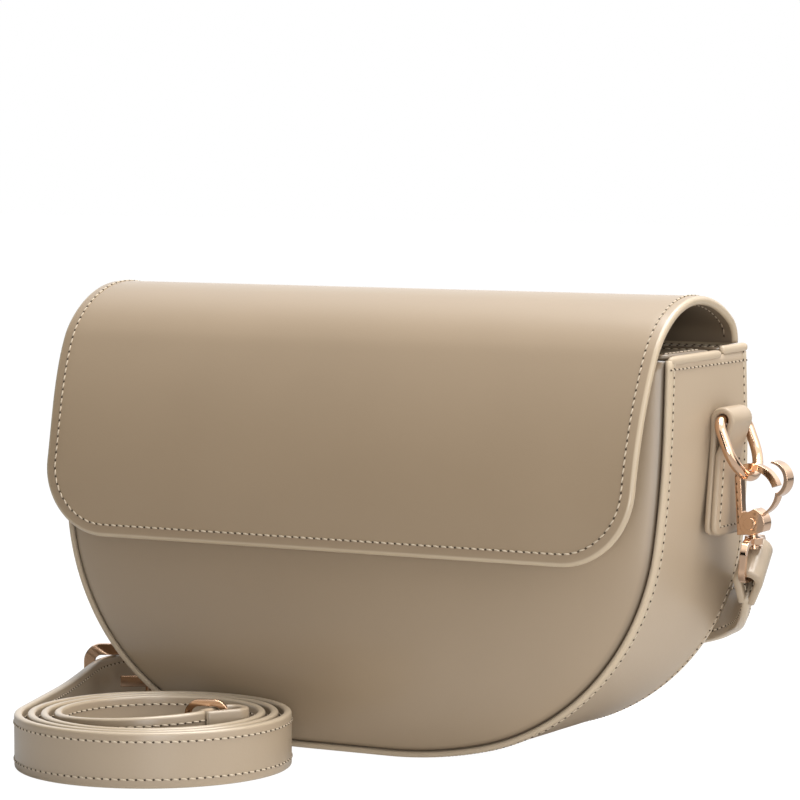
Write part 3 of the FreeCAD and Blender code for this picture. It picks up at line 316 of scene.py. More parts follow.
class Nodes:
    """Small builder for the nodes of a material, a group or the surroundings."""

    def __init__(self, tree: bpy.types.NodeTree) -> None:
        """Keep the tree.

        Args:
            tree: Node tree to add to.
        """
        self.tree = tree

    def join(self, socket: bpy.types.NodeSocket, value: object) -> None:
        """Set or link one input.

        Args:
            socket: Input socket.
            value: Number, colour or output socket.
        """
        if isinstance(value, bpy.types.NodeSocket):
            self.tree.links.new(value, socket)
        else:
            socket.default_value = value

    def fill(self, node: bpy.types.Node, **sockets: object) -> bpy.types.Node:
        """Set or link a node's inputs by name, spaces written as underscores.

        Args:
            node: Node whose inputs they are.
            sockets: Value or output socket for each input.

        Returns:
            The same node.
        """
        for key, value in sockets.items():
            self.join(node.inputs[key.replace("_", " ")], value)
        return node

    def add(self, kind: str, **sockets: object) -> bpy.types.Node:
        """Add a node and set or link its inputs by name.

        Args:
            kind: Node type.
            sockets: Value or output socket for each input.

        Returns:
            The new node.
        """
        return self.fill(self.tree.nodes.new(kind), **sockets)

    def math(self, operation: str, *values: object) -> bpy.types.NodeSocket:
        """Add one step of arithmetic.

        Args:
            operation: Name of the operation.
            values: Its values in order.

        Returns:
            Output socket.
        """
        node = self.add("ShaderNodeMath")
        node.operation = operation
        for socket, value in zip(node.inputs, values):
            self.join(socket, value)
        return node.outputs[0]

    def scaled(self, value: object, factor: float, plus: object) -> bpy.types.NodeSocket:
        """A value times a factor, plus another value.

        Args:
            value: Output socket.
            factor: Factor.
            plus: Number or output socket.

        Returns:
            Output socket.
        """
        return self.math("ADD", self.math("MULTIPLY", value, factor), plus)

    def mix(self, share: object, first: object, second: object) -> bpy.types.NodeSocket:
        """Add a mix of two colours.

        Args:
            share: Share of the second colour.
            first: First colour.
            second: Second colour.

        Returns:
            Output socket.
        """
        node = self.add("ShaderNodeMix")
        node.data_type = "RGBA"
        for number, value in ((0, share), (6, first), (7, second)):
            self.join(node.inputs[number], value)
        return node.outputs[2]

    def blend(self, share: object, first: bpy.types.Node, second: bpy.types.Node) -> bpy.types.Node:
        """Add a mix of two shaders.

        Args:
            share: Share of the second shader.
            first: First shader.
            second: Second shader.

        Returns:
            The mixing node.
        """
        node = self.add("ShaderNodeMixShader")
        for number, value in enumerate((share, first.outputs[0], second.outputs[0])):
            self.join(node.inputs[number], value)
        return node

    def toward(self, way: bpy.types.NodeSocket, goal: Triple) -> bpy.types.NodeSocket:
        """How far a direction points to a goal: the product of the two.

        Args:
            way: Direction looked in.
            goal: Direction aimed at.

        Returns:
            Output socket.
        """
        node = self.add("ShaderNodeVectorMath")
        node.operation = "DOT_PRODUCT"
        self.join(node.inputs[0], way)
        self.join(node.inputs[1], goal)
        return node.outputs["Value"]

    def ramp(self, value: object, spans: tuple[float, float, float, float]) -> bpy.types.NodeSocket:
        """Smooth step from one range to another.

        Args:
            value: Value to map.
            spans: Start and end of the value, then of the result.

        Returns:
            Output socket.
        """
        node = self.add("ShaderNodeMapRange")
        node.interpolation_type = "SMOOTHSTEP"
        for number, limit in enumerate((value, *spans)):
            self.join(node.inputs[number], limit)
        return node.outputs[0]

    def close(self, shader: bpy.types.Node, kind: str = "ShaderNodeOutputMaterial") -> None:
        """Send a shader to the output.

        Args:
            shader: Last shader.
            kind: Output node type.
        """
        self.join(self.add(kind).inputs[0], shader.outputs[0])


def blank(name: str) -> tuple[bpy.types.Material, Nodes]:
    """Empty node material.

    Args:
        name: Name of the material.

    Returns:
        The material and a builder for its nodes.
    """
    made = bpy.data.materials.new(name)
    made.use_nodes = True
    made.node_tree.nodes.clear()
    return made, Nodes(made.node_tree)


def shade(colour: Triple, factor: float = 1.0) -> tuple[float, float, float, float]:
    """Colour made darker or lighter.

    Args:
        colour: Linear colour.
        factor: Factor on it.

    Returns:
        The opaque colour.
    """
    return (*(part * factor for part in colour), 1.0)


def grain_group() -> bpy.types.NodeTree:
    """Shared leather grain: fine pores and soft creases as a height, and slow clouds as a tint.

    Returns:
        The node group.
    """
    found = bpy.data.node_groups.get("leather_grain")
    if found:
        return found
    group = bpy.data.node_groups.new("leather_grain", "ShaderNodeTree")
    for name, way, kind in (("Place", "INPUT", "Vector"), ("Scale", "INPUT", "Float"),
                            ("Height", "OUTPUT", "Float"), ("Tint", "OUTPUT", "Float")):
        group.interface.new_socket(name, in_out=way, socket_type=f"NodeSocket{kind}")
    build = Nodes(group)
    inside = build.add("NodeGroupInput").outputs
    coarse = build.math("MULTIPLY", inside["Scale"], 0.22)
    slow = build.math("MULTIPLY", inside["Scale"], 0.012)
    cells = build.add("ShaderNodeTexVoronoi", Vector=inside["Place"], Scale=inside["Scale"])
    cells.feature = "SMOOTH_F1"
    creases = build.add("ShaderNodeTexNoise", Vector=inside["Place"], Scale=coarse, Detail=3.0)
    clouds = build.add("ShaderNodeTexNoise", Vector=inside["Place"], Scale=slow, Detail=2.0)
    height = build.scaled(cells.outputs["Distance"], 0.6, creases.outputs["Fac"])
    build.add("NodeGroupOutput", Height=height, Tint=clouds.outputs["Fac"])
    return group


@dataclass(frozen=True)
class Leather:
    """Smooth coated leather with fine grain, slow clouds of tone and a second tone where marked: its own tone
    at rubbed edges, or painted shade.
    """

    name: str
    base: Triple
    edge: Triple
    roughness: float = 0.34
    bump: float = 0.05
    cloud: float = 0.05
    coat: float = 0.22
    specular: float = 0.5
    coat_roughness: float = 0.2
    grain: float = 1500.0
    grain_depth: float = 0.4 * MM
    uneven: float = 0.14

    def material(self) -> bpy.types.Material:
        """Build the node material.

        Returns:
            The material.
        """
        made, build = blank(self.name)
        grain = build.add("ShaderNodeGroup")
        grain.node_tree = grain_group()
        build.fill(grain, Place=build.add("ShaderNodeTexCoord").outputs["Object"], Scale=self.grain)
        tint = grain.outputs["Tint"]
        wear_and_shade = build.add("ShaderNodeAttribute")
        wear_and_shade.attribute_name = "wear_and_shade"
        toned = build.mix(tint, shade(self.base, 1 - self.cloud), shade(self.base, 1 + self.cloud))
        # The second tone is the rubbed edge colour, or painted shade where a panel's rim hollow is marked.
        colour = build.mix(wear_and_shade.outputs["Fac"], toned, shade(self.edge))
        rough = build.scaled(tint, self.uneven, self.roughness - self.uneven / 2)
        bump = build.add("ShaderNodeBump", Strength=self.bump, Distance=self.grain_depth,
                         Height=grain.outputs["Height"])
        build.close(build.add("ShaderNodeBsdfPrincipled", Base_Color=colour, Roughness=rough,
                              Normal=bump.outputs["Normal"], Coat_Weight=self.coat,
                              Coat_Roughness=self.coat_roughness, Specular_IOR_Level=self.specular))
        return made


@dataclass(frozen=True)
class Metal:
    """Polished plated metal with faint handling haze and softened edges."""

    name: str
    base: Triple
    roughness: float = 0.12
    edge_radius: float = 0.5 * MM
    haze: float = 0.05
    haze_scale: float = 240.0
    dull: float = 0.94

    def material(self) -> bpy.types.Material:
        """Build the node material.

        Returns:
            The material.
        """
        made, build = blank(self.name)
        place = build.add("ShaderNodeTexCoord").outputs["Object"]
        haze = build.add("ShaderNodeTexNoise", Vector=place, Scale=self.haze_scale, Detail=3.0).outputs["Fac"]
        rough = build.scaled(haze, self.haze, self.roughness - self.haze / 2)
        tone = build.mix(haze, shade(self.base, self.dull), shade(self.base))
        bevel = build.add("ShaderNodeBevel", Radius=self.edge_radius)
        build.close(build.add("ShaderNodeBsdfPrincipled", Base_Color=tone, Roughness=rough, Metallic=1.0,
                              Normal=bevel.outputs["Normal"]))
        return made


@dataclass(frozen=True)
class Thread:
    """Twisted thread, or the painted shade of a needle hole when it has no sheen."""

    name: str
    base: Triple
    roughness: float = 0.6
    twist: float = 2500.0
    tones: tuple[float, float] = (0.75, 1.2)

    def material(self) -> bpy.types.Material:
        """Build the node material.

        Returns:
            The material.
        """
        made, build = blank(self.name)
        place = build.add("ShaderNodeTexCoord").outputs["Object"]
        twist = build.add("ShaderNodeTexNoise", Vector=place, Scale=self.twist, Detail=1.0).outputs["Fac"]
        tone = build.mix(twist, *(shade(self.base, factor) for factor in self.tones))
        build.close(build.add("ShaderNodeBsdfPrincipled", Base_Color=tone, Roughness=self.roughness))
        return made


class Wardrobe:
    """All finishes of the bag, built once."""

    def __init__(self) -> None:
        """Build the materials."""
        self.panel = Leather("taupe_leather", (0.288, 0.213, 0.138), (0.385, 0.303, 0.206)).material()
        self.gusset = Leather("gusset_leather", (0.360, 0.278, 0.194), (0.45, 0.36, 0.255), 0.42,
                              coat=0.05, specular=0.25).material()
        self.strap = Leather("strap_leather", (0.320, 0.248, 0.171), (0.41, 0.33, 0.235)).material()
        # Partly painted shade: the flap's lining leather is darker, and made darker still for the shade under
        # the flap.
        self.lining = Leather("flap_lining_leather_painted_shade", (0.15, 0.108, 0.068), (0.40, 0.32, 0.22),
                              0.6, 0.1).material()
        # Painted light and shade: a lighter copy of the taupe leather for the front and back faces, whose dark
        # second tone is painted shade at the panels' rims.
        self.face = Leather("face_leather_lit_copy_rim_shade", (0.302, 0.224, 0.145), (0.060, 0.042, 0.026)).material()
        # Painted shade: a darker copy of the taupe leather for the mouth strips, which lie in the shade under
        # the flap.
        self.strip = Leather("mouth_leather_painted_shade", (0.170, 0.124, 0.080), (0.22, 0.17, 0.115)).material()
        self.gold = Metal("rose_gold", (0.74, 0.50, 0.34), 0.07).material()
        self.steel = Metal("magnet_steel", (0.62, 0.61, 0.60), 0.25).material()
        self.thread = Thread("thread", (0.48, 0.395, 0.29)).material()
        # Painted shade: the thread on the lining side is a darker copy, for the shade under the flap.
        self.shaded_thread = Thread("lining_thread_painted_shade", (0.24, 0.18, 0.12)).material()
        # Painted shade: the needle holes are dark beads for the shade inside each hole.
        self.hole = Thread("needle_hole_painted_shade", (0.055, 0.036, 0.02), 0.9).material()
        self.cloth = Leather("lining_cloth", (0.22, 0.17, 0.12), (0.22, 0.17, 0.12), 0.85, 0.4).material()

    def dress(self, item: bpy.types.Object, *materials: bpy.types.Material) -> bpy.types.Object:
        """Give an object its materials.

        Args:
            item: Object to dress.
            materials: Materials in slot order.

        Returns:
            The same object.
        """
        item.data.materials.clear()
        for material in materials:
            item.data.materials.append(material)
        return item

    def stand_in(self, item: bpy.types.Object, materials: Sequence[bpy.types.Material], slot: Slots,
                 nodes: Sequence[str] = ()) -> bpy.types.Object:
        """Dress a piece, and hide the CAD nodes that it stands for.

        Args:
            item: Piece to dress.
            materials: Materials in slot order.
            slot: Slot of the record; not used.
            nodes: CAD nodes.

        Returns:
            The same object.
        """
        self.dress(item, *materials)
        if nodes:
            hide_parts(*nodes)
        return item


# Stitches


@dataclass
class Stitching:
    """Lockstitch: lens-shaped threads end to end, with a dark bead of painted shade for the needle hole
    between each two.
    """

    wardrobe: Wardrobe
    pitch: float = 3.1 * MM
    length: float = 2.4 * MM
    radius: float = 0.34 * MM
    slant: float = 0.16
    raised: float = 0.06 * MM
    hole: float = 0.50 * MM
    hole_girth: float = 0.8
    bead_end: float = 0.96
    threads: dict[tuple[str, bool], list[np.ndarray]] = field(default_factory=dict)
    bends: dict[str, tuple[str, str, Vector, Vector]] = field(default_factory=dict)

    def lay(self, path: np.ndarray, normal: np.ndarray | Triple, body: str = Bodies.BAG.value,
            dark: bool = False) -> None:
        """Put a row of stitches on a line.

        The directions are made tiny beside the places, so that they add no length when both are resampled.

        Args:
            path: (n, 3) line on the leather.
            normal: Outward direction of the leather there, one for all or (n, 3).
            body: Body that the leather rides on.
            dark: Whether the thread is the lining's, darker as painted shade under the flap.
        """
        count = max(2, int(travelled(path)[-1] / self.pitch))
        turned = TINY * np.broadcast_to(normal, path.shape)
        both = resample(np.concatenate([path, turned], axis=1), 2 * count + 1)
        line, out = both[:, :3], unit(both[:, 3:])
        along = unit(np.gradient(line, axis=0))
        self.threads.setdefault((body, dark), []).append(np.stack([line, along, out], axis=1))

    def _beads(self, centre: np.ndarray, along: np.ndarray, out: np.ndarray, half: float, radius: float,
               rings: int = 5, around: int = 6) -> tuple[np.ndarray, np.ndarray]:
        """Lens-shaped beads: radius times the root of one minus the square of the place along the bead.

        Args:
            centre: (n, 3) middles.
            along: (n, 3) long directions.
            out: (n, 3) outward directions.
            half: Half length.
            radius: Greatest radius.
            rings: Rings on a bead.
            around: Points on a ring.

        Returns:
            Points and quads of all the beads.
        """
        side = unit(np.cross(along, out))
        at = np.linspace(-self.bead_end, self.bead_end, rings)
        thick = radius * np.sqrt(1 - at ** 2)
        turn = np.linspace(0, 2 * np.pi, around, endpoint=False)
        spin = np.cos(turn)[:, None, None] * side[None] + np.sin(turn)[:, None, None] * out[None]
        points = (centre[None, None] + half * at[:, None, None, None] * along[None, None]
                  + thick[:, None, None, None] * spin[None])
        points = points.transpose(2, 0, 1, 3).reshape(-1, 3)
        one = grid_quads(rings, around, wrap_columns=True)
        starts = np.arange(len(centre)) * rings * around
        quads = (starts[:, None, None] + one[None]).reshape(-1, 4)
        return points, quads

    def sew(self) -> None:
        """Make the threads and holes of every body."""
        for (body, dark), rows in self.threads.items():
            name = f"{body}_lining" if dark else body
            middles = np.concatenate([row[1::2] for row in rows])
            ends = np.concatenate([row[0::2] for row in rows])
            side = np.cross(middles[:, 1], middles[:, 2])
            slanted = unit(middles[:, 1] + self.slant * side)
            raised = middles[:, 0] + middles[:, 2] * self.raised
            threads = self._beads(raised, slanted, middles[:, 2], self.length / 2, self.radius)
            holes = self._beads(*ends.transpose(1, 0, 2), self.hole, self.hole_girth * self.hole, 4)
            tone = self.wardrobe.shaded_thread if dark else self.wardrobe.thread
            kinds = (("thread", threads, tone), ("needle_hole_shades", holes, self.wardrobe.hole))
            for kind, mesh, finish in kinds:
                item = add_mesh(f"{kind}_{name}", *mesh)
                self.wardrobe.dress(item, finish)
                self.fasten(item, body)

    def fasten(self, item: bpy.types.Object, body: str) -> None:
        """Let a piece ride on its body, or, where a bend is named for it, bake its placement into its points.

        Args:
            item: Piece to fasten.
            body: Body, or name of a bend.
        """
        if body in self.bends:
            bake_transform(item)
        else:
            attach(item, body)


# The body of the bag


@dataclass
class BagBody:
    """Gusset with its hems, swollen front, flat back, mouth strips and lining pouch."""

    wardrobe: Wardrobe
    stitching: Stitching
    middle: float
    width: float = 260 * MM
    height: float = 150 * MM
    depth: float = 66 * MM
    lean: float = 9 * MM
    radii: Triple = (166 * MM, 90.5 * MM, 420 * MM)
    turns: tuple[float, float, float, float] = (0.0, 14.0, 84.0, 90.0)
    flat_points: int = 7
    arc_points: tuple[int, int, int] = (14, 44, 12)
    wall: float = 2.2 * MM
    gap: float = 0.3 * MM
    recess: float = 1.0 * MM
    bulge: float = 12.5 * MM
    strip_wall: float = 2.0 * MM
    slot_middle: float = 9 * MM
    slot_width: float = 12 * MM
    lining_gap: float = 0.15 * MM
    lining_cut: tuple[float, float] = (0.28, 0.42)
    stitch_inset: float = 3.6 * MM
    rim_wear: float = 0.9
    hem: Triple = (3.0 * MM, 3.4 * MM, 1.45 * MM)
    hem_inset: float = 0.9 * MM
    hem_step: float = 1.3 * MM
    hem_join: tuple[float, float] = (11 * MM, 11.5 * MM)
    hem_end: float = 0.8 * MM
    hem_rise: float = 0.5 * MM
    hem_sink: float = 0.3 * MM
    hem_past: float = 0.3 * MM
    hem_taper: tuple[float, int, float] = (0.985, 12, 0.02)
    hem_wear: float = 0.55
    hem_seam: float = 3.4 * MM
    hem_seam_lift: float = 0.05 * MM
    top_gap: float = 0.2 * MM
    tuck: float = 2.0 * MM
    centre_share: float = 0.53
    rings: int = 34
    ring_power: float = 1.35
    oval_share: float = 0.96
    oval_from: float = 0.6
    swell: tuple[float, float] = (3, 0.75)
    rim_hollow_shade_share: float = 0.013
    strip_inset: float = 1.6 * MM
    strip_edge: float = 0.9 * MM
    strip_seam: float = 3 * MM
    strip_seam_lift: float = 0.02 * MM
    strip_taper: tuple[float, float] = (0.06, 4 * MM)
    cloth_wall: float = 0.7 * MM
    pouch_gaps: tuple[float, float] = (0.3 * MM, 3.6 * MM)
    pouch_columns: tuple[int, int] = (12, 24)
    front_fill: float = 0.7
    back_bulge: float = 0.6 * MM

    def outline(self, inset: float = 0.0) -> tuple[np.ndarray, np.ndarray]:
        """D outline from the top left, round the bottom, to the top right: tangent arcs moved inwards.

        Args:
            inset: Distance inwards.

        Returns:
            (n, 2) points in X and Z, and their outward directions.
        """
        spans = np.radians(self.turns)
        reach = sum(r * (np.sin(b) - np.sin(a)) for r, a, b in zip(self.radii, spans, spans[1:]))
        x, z = self.width / 2 - reach, inset
        flat = np.linspace(0, x, self.flat_points + 1)[:-1]
        points = [np.stack([flat, np.full_like(flat, inset)], axis=1)]
        angles = [np.zeros_like(flat)]
        for radius, begin, end, count in zip(self.radii, spans, spans[1:], self.arc_points):
            turn = np.linspace(begin, end, count)[:-1]
            tight = radius - inset
            cx, cz = x - tight * np.sin(begin), z + tight * np.cos(begin)
            points.append(np.stack([cx + tight * np.sin(turn), cz - tight * np.cos(turn)], axis=1))
            angles.append(turn)
            x, z = cx + tight * np.sin(end), cz - tight * np.cos(end)
        rise = np.linspace(z, self.height, 9)
        points.append(np.stack([np.full_like(rise, x), rise], axis=1))
        angles.append(np.full_like(rise, np.pi / 2))
        right, angle = np.concatenate(points), np.concatenate(angles)
        out = np.stack([np.sin(angle), -np.cos(angle)], axis=1)
        mirror = np.array([-1.0, 1.0])
        return (np.concatenate([right[:0:-1] * mirror, right]), np.concatenate([out[:0:-1] * mirror, out]))

    def edge_y(self, z: np.ndarray, hand: int) -> np.ndarray:
        """Place of the front (-1) or back (+1) rim at a height, leaning out towards the floor.

        Args:
            z: Heights.
            hand: Which rim.

        Returns:
            Y places.
        """
        return self.middle + hand * (self.depth / 2 + self.lean * (1 - z / self.height))

    def gusset(self) -> bpy.types.Object:
        """Band round the side: the outline carried across the depth, with rounded rims front and back.

        Returns:
            The gusset.
        """
        line, out = self.outline()
        r = self.wall / 2
        turn = np.linspace(-np.pi / 2, np.pi / 2, 9)
        rim_y, rim_o = r - r * np.cos(turn), -r + r * np.sin(turn)
        share = np.linspace(0, 1, 14)[1:-1]
        front, back = self.edge_y(line[:, 1], -1)[:, None], self.edge_y(line[:, 1], 1)[:, None]
        strips = ((front + rim_y, rim_o, self.rim_wear),
                  (front * (1 - share) + back * share, 0 * share, 0.0),
                  (back - rim_y[::-1], rim_o[::-1], self.rim_wear),
                  (back * (1 - share) + front * share, 0 * share - self.wall, 0.0))
        y = np.concatenate([place for place, _, _ in strips], axis=1)
        offset = np.concatenate([outwards for _, outwards, _ in strips])
        wear_and_shade = np.concatenate([np.full(len(outwards), wear_and_shade_values) for _, outwards, wear_and_shade_values in strips])
        points = places(line[:, :1] + out[:, :1] * offset, y, line[:, 1:] + out[:, 1:] * offset)
        rows, columns = points.shape[:2]
        caps = (np.arange(columns), (np.arange(columns) + (rows - 1) * columns)[::-1])
        quads = grid_quads(rows, columns, True, flip=True)
        item = add_mesh("gusset_leather", points.reshape(-1, 3), quads, caps, wear_and_shade=np.tile(wear_and_shade, rows))
        self.wardrobe.stand_in(item, [self.wardrobe.gusset], Slots.GUSSET, ["gusset"])
        for hand, _ in SIDES:
            inset = self.edge_y(line[:, 1], hand) - hand * self.stitch_inset
            self.stitching.lay(places(line[:, 0], inset, line[:, 1]), places(out[:, 0], 0, out[:, 1]))
        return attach(item, Bodies.BAG.value)

    def hems(self) -> None:
        """Rolled hems along the top of the gusset at each end, the rear one higher.

        They are round bars whose size falls to nothing at both ends, by the root of one minus the place along
        the bar to the power twelve.
        """
        spans = (("front", -self.depth / 2 + self.hem_end, self.hem_join[0], 0.0),
                 ("rear", self.hem_join[1], self.depth / 2 + self.hem_past, self.hem_step))
        section = rounded_section(*self.hem)
        reach, power, least = self.hem_taper
        for hand, side in SIDES:
            for part, low, high, step in spans:
                y = np.linspace(low, high, 24)
                place = 2 * (y - low) / (high - low) - 1
                swell = np.sqrt(np.clip(1 - (reach * np.abs(place)) ** power, least, 1))
                level = self.height - self.hem_sink + self.hem_rise * (y / self.depth + 0.5) + step
                path = places(hand * (self.width / 2 - self.hem_inset), self.middle + y, level)
                item = sweep(f"gusset_hem_{part}_{side}", path, (1.0, 0, 0),
                             section[None] * swell[:, None, None], np.full(len(section), self.hem_wear))
                self.wardrobe.stand_in(item, [self.wardrobe.gusset], Slots.GUSSET)
                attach(item, Bodies.BAG.value)
            y = np.linspace(-self.depth / 2 + self.hem_end, self.depth / 2 - self.hem_end, 24)
            outer = hand * (self.width / 2 + self.hem_seam_lift)
            self.stitching.lay(places(outer, self.middle + y, self.height - self.hem_seam), (hand, 0, 0))

    def panel(self, name: str, hand: int, bulge: float, nodes: Sequence[str]) -> bpy.types.Object:
        """D-shaped face: rings that shrink to the middle and turn from the outline into ellipses as they do.

        The height is one minus the cube of the ring's size, to the power three quarters. The outermost rings
        carry painted shade: the dark of the hollow beside the rim.

        Args:
            name: Name of the piece.
            hand: -1 for the front, +1 for the back.
            bulge: Height of the swelling.
            nodes: CAD nodes it stands for.

        Returns:
            The panel.
        """
        line, _ = self.outline(self.wall + self.gap)
        across = np.linspace(line[-1, 0], line[0, 0], self.rings)[1:-1]
        level = self.height - self.top_gap
        top = np.stack([across, np.full_like(across, level)], axis=1)
        loop = np.concatenate([np.minimum(line, np.array([np.inf, level])), top])
        centre = np.array([0.0, self.centre_share * self.height])
        share = np.concatenate([[0, 0], np.linspace(0, 1, self.rings)[1:-1] ** self.ring_power])
        half = np.array([self.width / 2, centre[1]])
        angle = np.arctan2(*((loop - centre) / half).T[::-1])
        oval = self.oval_share * half * circle(angle)
        rounder = ease(share / self.oval_from)[:, None, None]
        rings = centre + (1 - share)[:, None, None] * ((loop - centre) * (1 - rounder) + oval * rounder)
        lift = bulge * (1 - (1 - share) ** self.swell[0]) ** self.swell[1] - self.recess
        lift[0] = -self.recess - self.tuck
        y = self.edge_y(rings[..., 1], hand) + hand * lift[:, None]
        points = places(rings[..., 0], y, rings[..., 1])
        rows, columns = points.shape[:2]
        caps = [np.arange(columns) + (rows - 1) * columns, np.arange(columns)]
        caps = [cap[::-1] if (number == 0) == (hand > 0) else cap for number, cap in enumerate(caps)]
        # Painted shade: the outermost rings take the face leather's dark second tone for the shade in the
        # hollow beside the rim.
        rim_hollow_shade = np.repeat(np.clip(1 - share / self.rim_hollow_shade_share, 0, 1), columns)
        item = add_mesh(name, points.reshape(-1, 3), grid_quads(rows, columns, True, flip=hand > 0), caps,
                        wear_and_shade=rim_hollow_shade)
        self.wardrobe.stand_in(item, [self.wardrobe.face], Slots.TAUPE, nodes)
        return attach(item, Bodies.BAG.value)

    def strips(self) -> None:
        """Two strips across the mouth: flat bars with rounded edges, a little smaller towards their ends."""
        length = self.width - 2 * self.strip_inset
        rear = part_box("rear_top_strip")[1][1] - self.middle
        half_slot = self.slot_width / 2
        spans = {"front_top_strip": (-self.depth / 2 + self.strip_inset, self.slot_middle - half_slot),
                 "rear_top_strip": (self.slot_middle + half_slot, rear)}
        level = self.height + self.strip_wall + self.strip_seam_lift
        less, run = self.strip_taper
        x = np.linspace(-length / 2, length / 2, 60)
        ends = 1 - less * np.clip((np.abs(x) - length / 2 + run) / run, 0, 1) ** 2
        for node, (low, high) in spans.items():
            path = places(x, self.middle + (low + high) / 2, self.height + self.strip_wall / 2)
            section = rounded_section(high - low, self.strip_wall, self.strip_edge, per_side=7)
            item = sweep(f"{node}_leather", path, (0, 1.0, 0), section[None] * ends[:, None, None])
            # Painted shade: the strips take a darker copy of the taupe leather for the shade under the flap.
            self.wardrobe.stand_in(item, [self.wardrobe.strip], Slots.TAUPE, [node])
            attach(item, Bodies.BAG.value)
            seams = np.linspace(low + self.strip_seam, high - self.strip_seam, 12)
            for place in seams[[0, -1]]:
                self.stitching.lay(places(x[1:-1], self.middle + place, level), (0, 0, 1.0))
            for hand, _ in SIDES:
                end = hand * (length / 2 - self.strip_seam)
                self.stitching.lay(places(end, self.middle + seams, level), (0, 0, 1.0))

    def pouch(self) -> bpy.types.Object:
        """Lining pouch, open at the top: the outline carried across the depth, with a flat face at each end.

        Returns:
            The pouch.
        """
        line, _ = self.outline(self.wall + self.lining_gap)
        line = np.minimum(line, np.array([np.inf, self.height - self.top_gap]))
        front = self.edge_y(line[:, 1], -1) + self.recess + self.pouch_gaps[0]
        back = self.edge_y(line[:, 1], 1) - self.recess - self.pouch_gaps[1]
        deep, wide = self.pouch_columns
        share = np.linspace(0, 1, deep)
        y = front[:, None] * (1 - share) + back[:, None] * share
        band = places(line[:, :1], y, line[:, 1:])
        begin = len(line) // 2 + self.flat_points
        right = line[begin:]
        q = np.linspace(-1, 1, wide)
        parts, quads = [band.reshape(-1, 3)], [grid_quads(len(line), deep, flip=True)]
        for depth, flip in ((front, False), (back, True)):
            face = places(right[:, :1] * q, depth[begin:, None], right[:, 1:])
            quads.append(grid_quads(len(right), wide, start=sum(map(len, parts)), flip=flip))
            parts.append(face.reshape(-1, 3))
        item = add_mesh("lining_pouch", np.concatenate(parts), np.concatenate(quads))
        shell = item.modifiers.new("cloth", "SOLIDIFY")
        shell.thickness = self.cloth_wall
        shell.offset = -1
        self.wardrobe.dress(item, self.wardrobe.cloth)
        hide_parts("lining")
        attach(item, Bodies.BAG.value)
        return item

    def build(self) -> None:
        """Make every piece of the body."""
        self.gusset()
        self.pouch()
        self.hems()
        front = self.panel("front_panel_leather", -1, self.bulge, ("front_panel", "front_padding"))
        self.panel("back_panel_leather", 1, self.back_bulge, ("back_panel",))
        self.strips()


# The flap


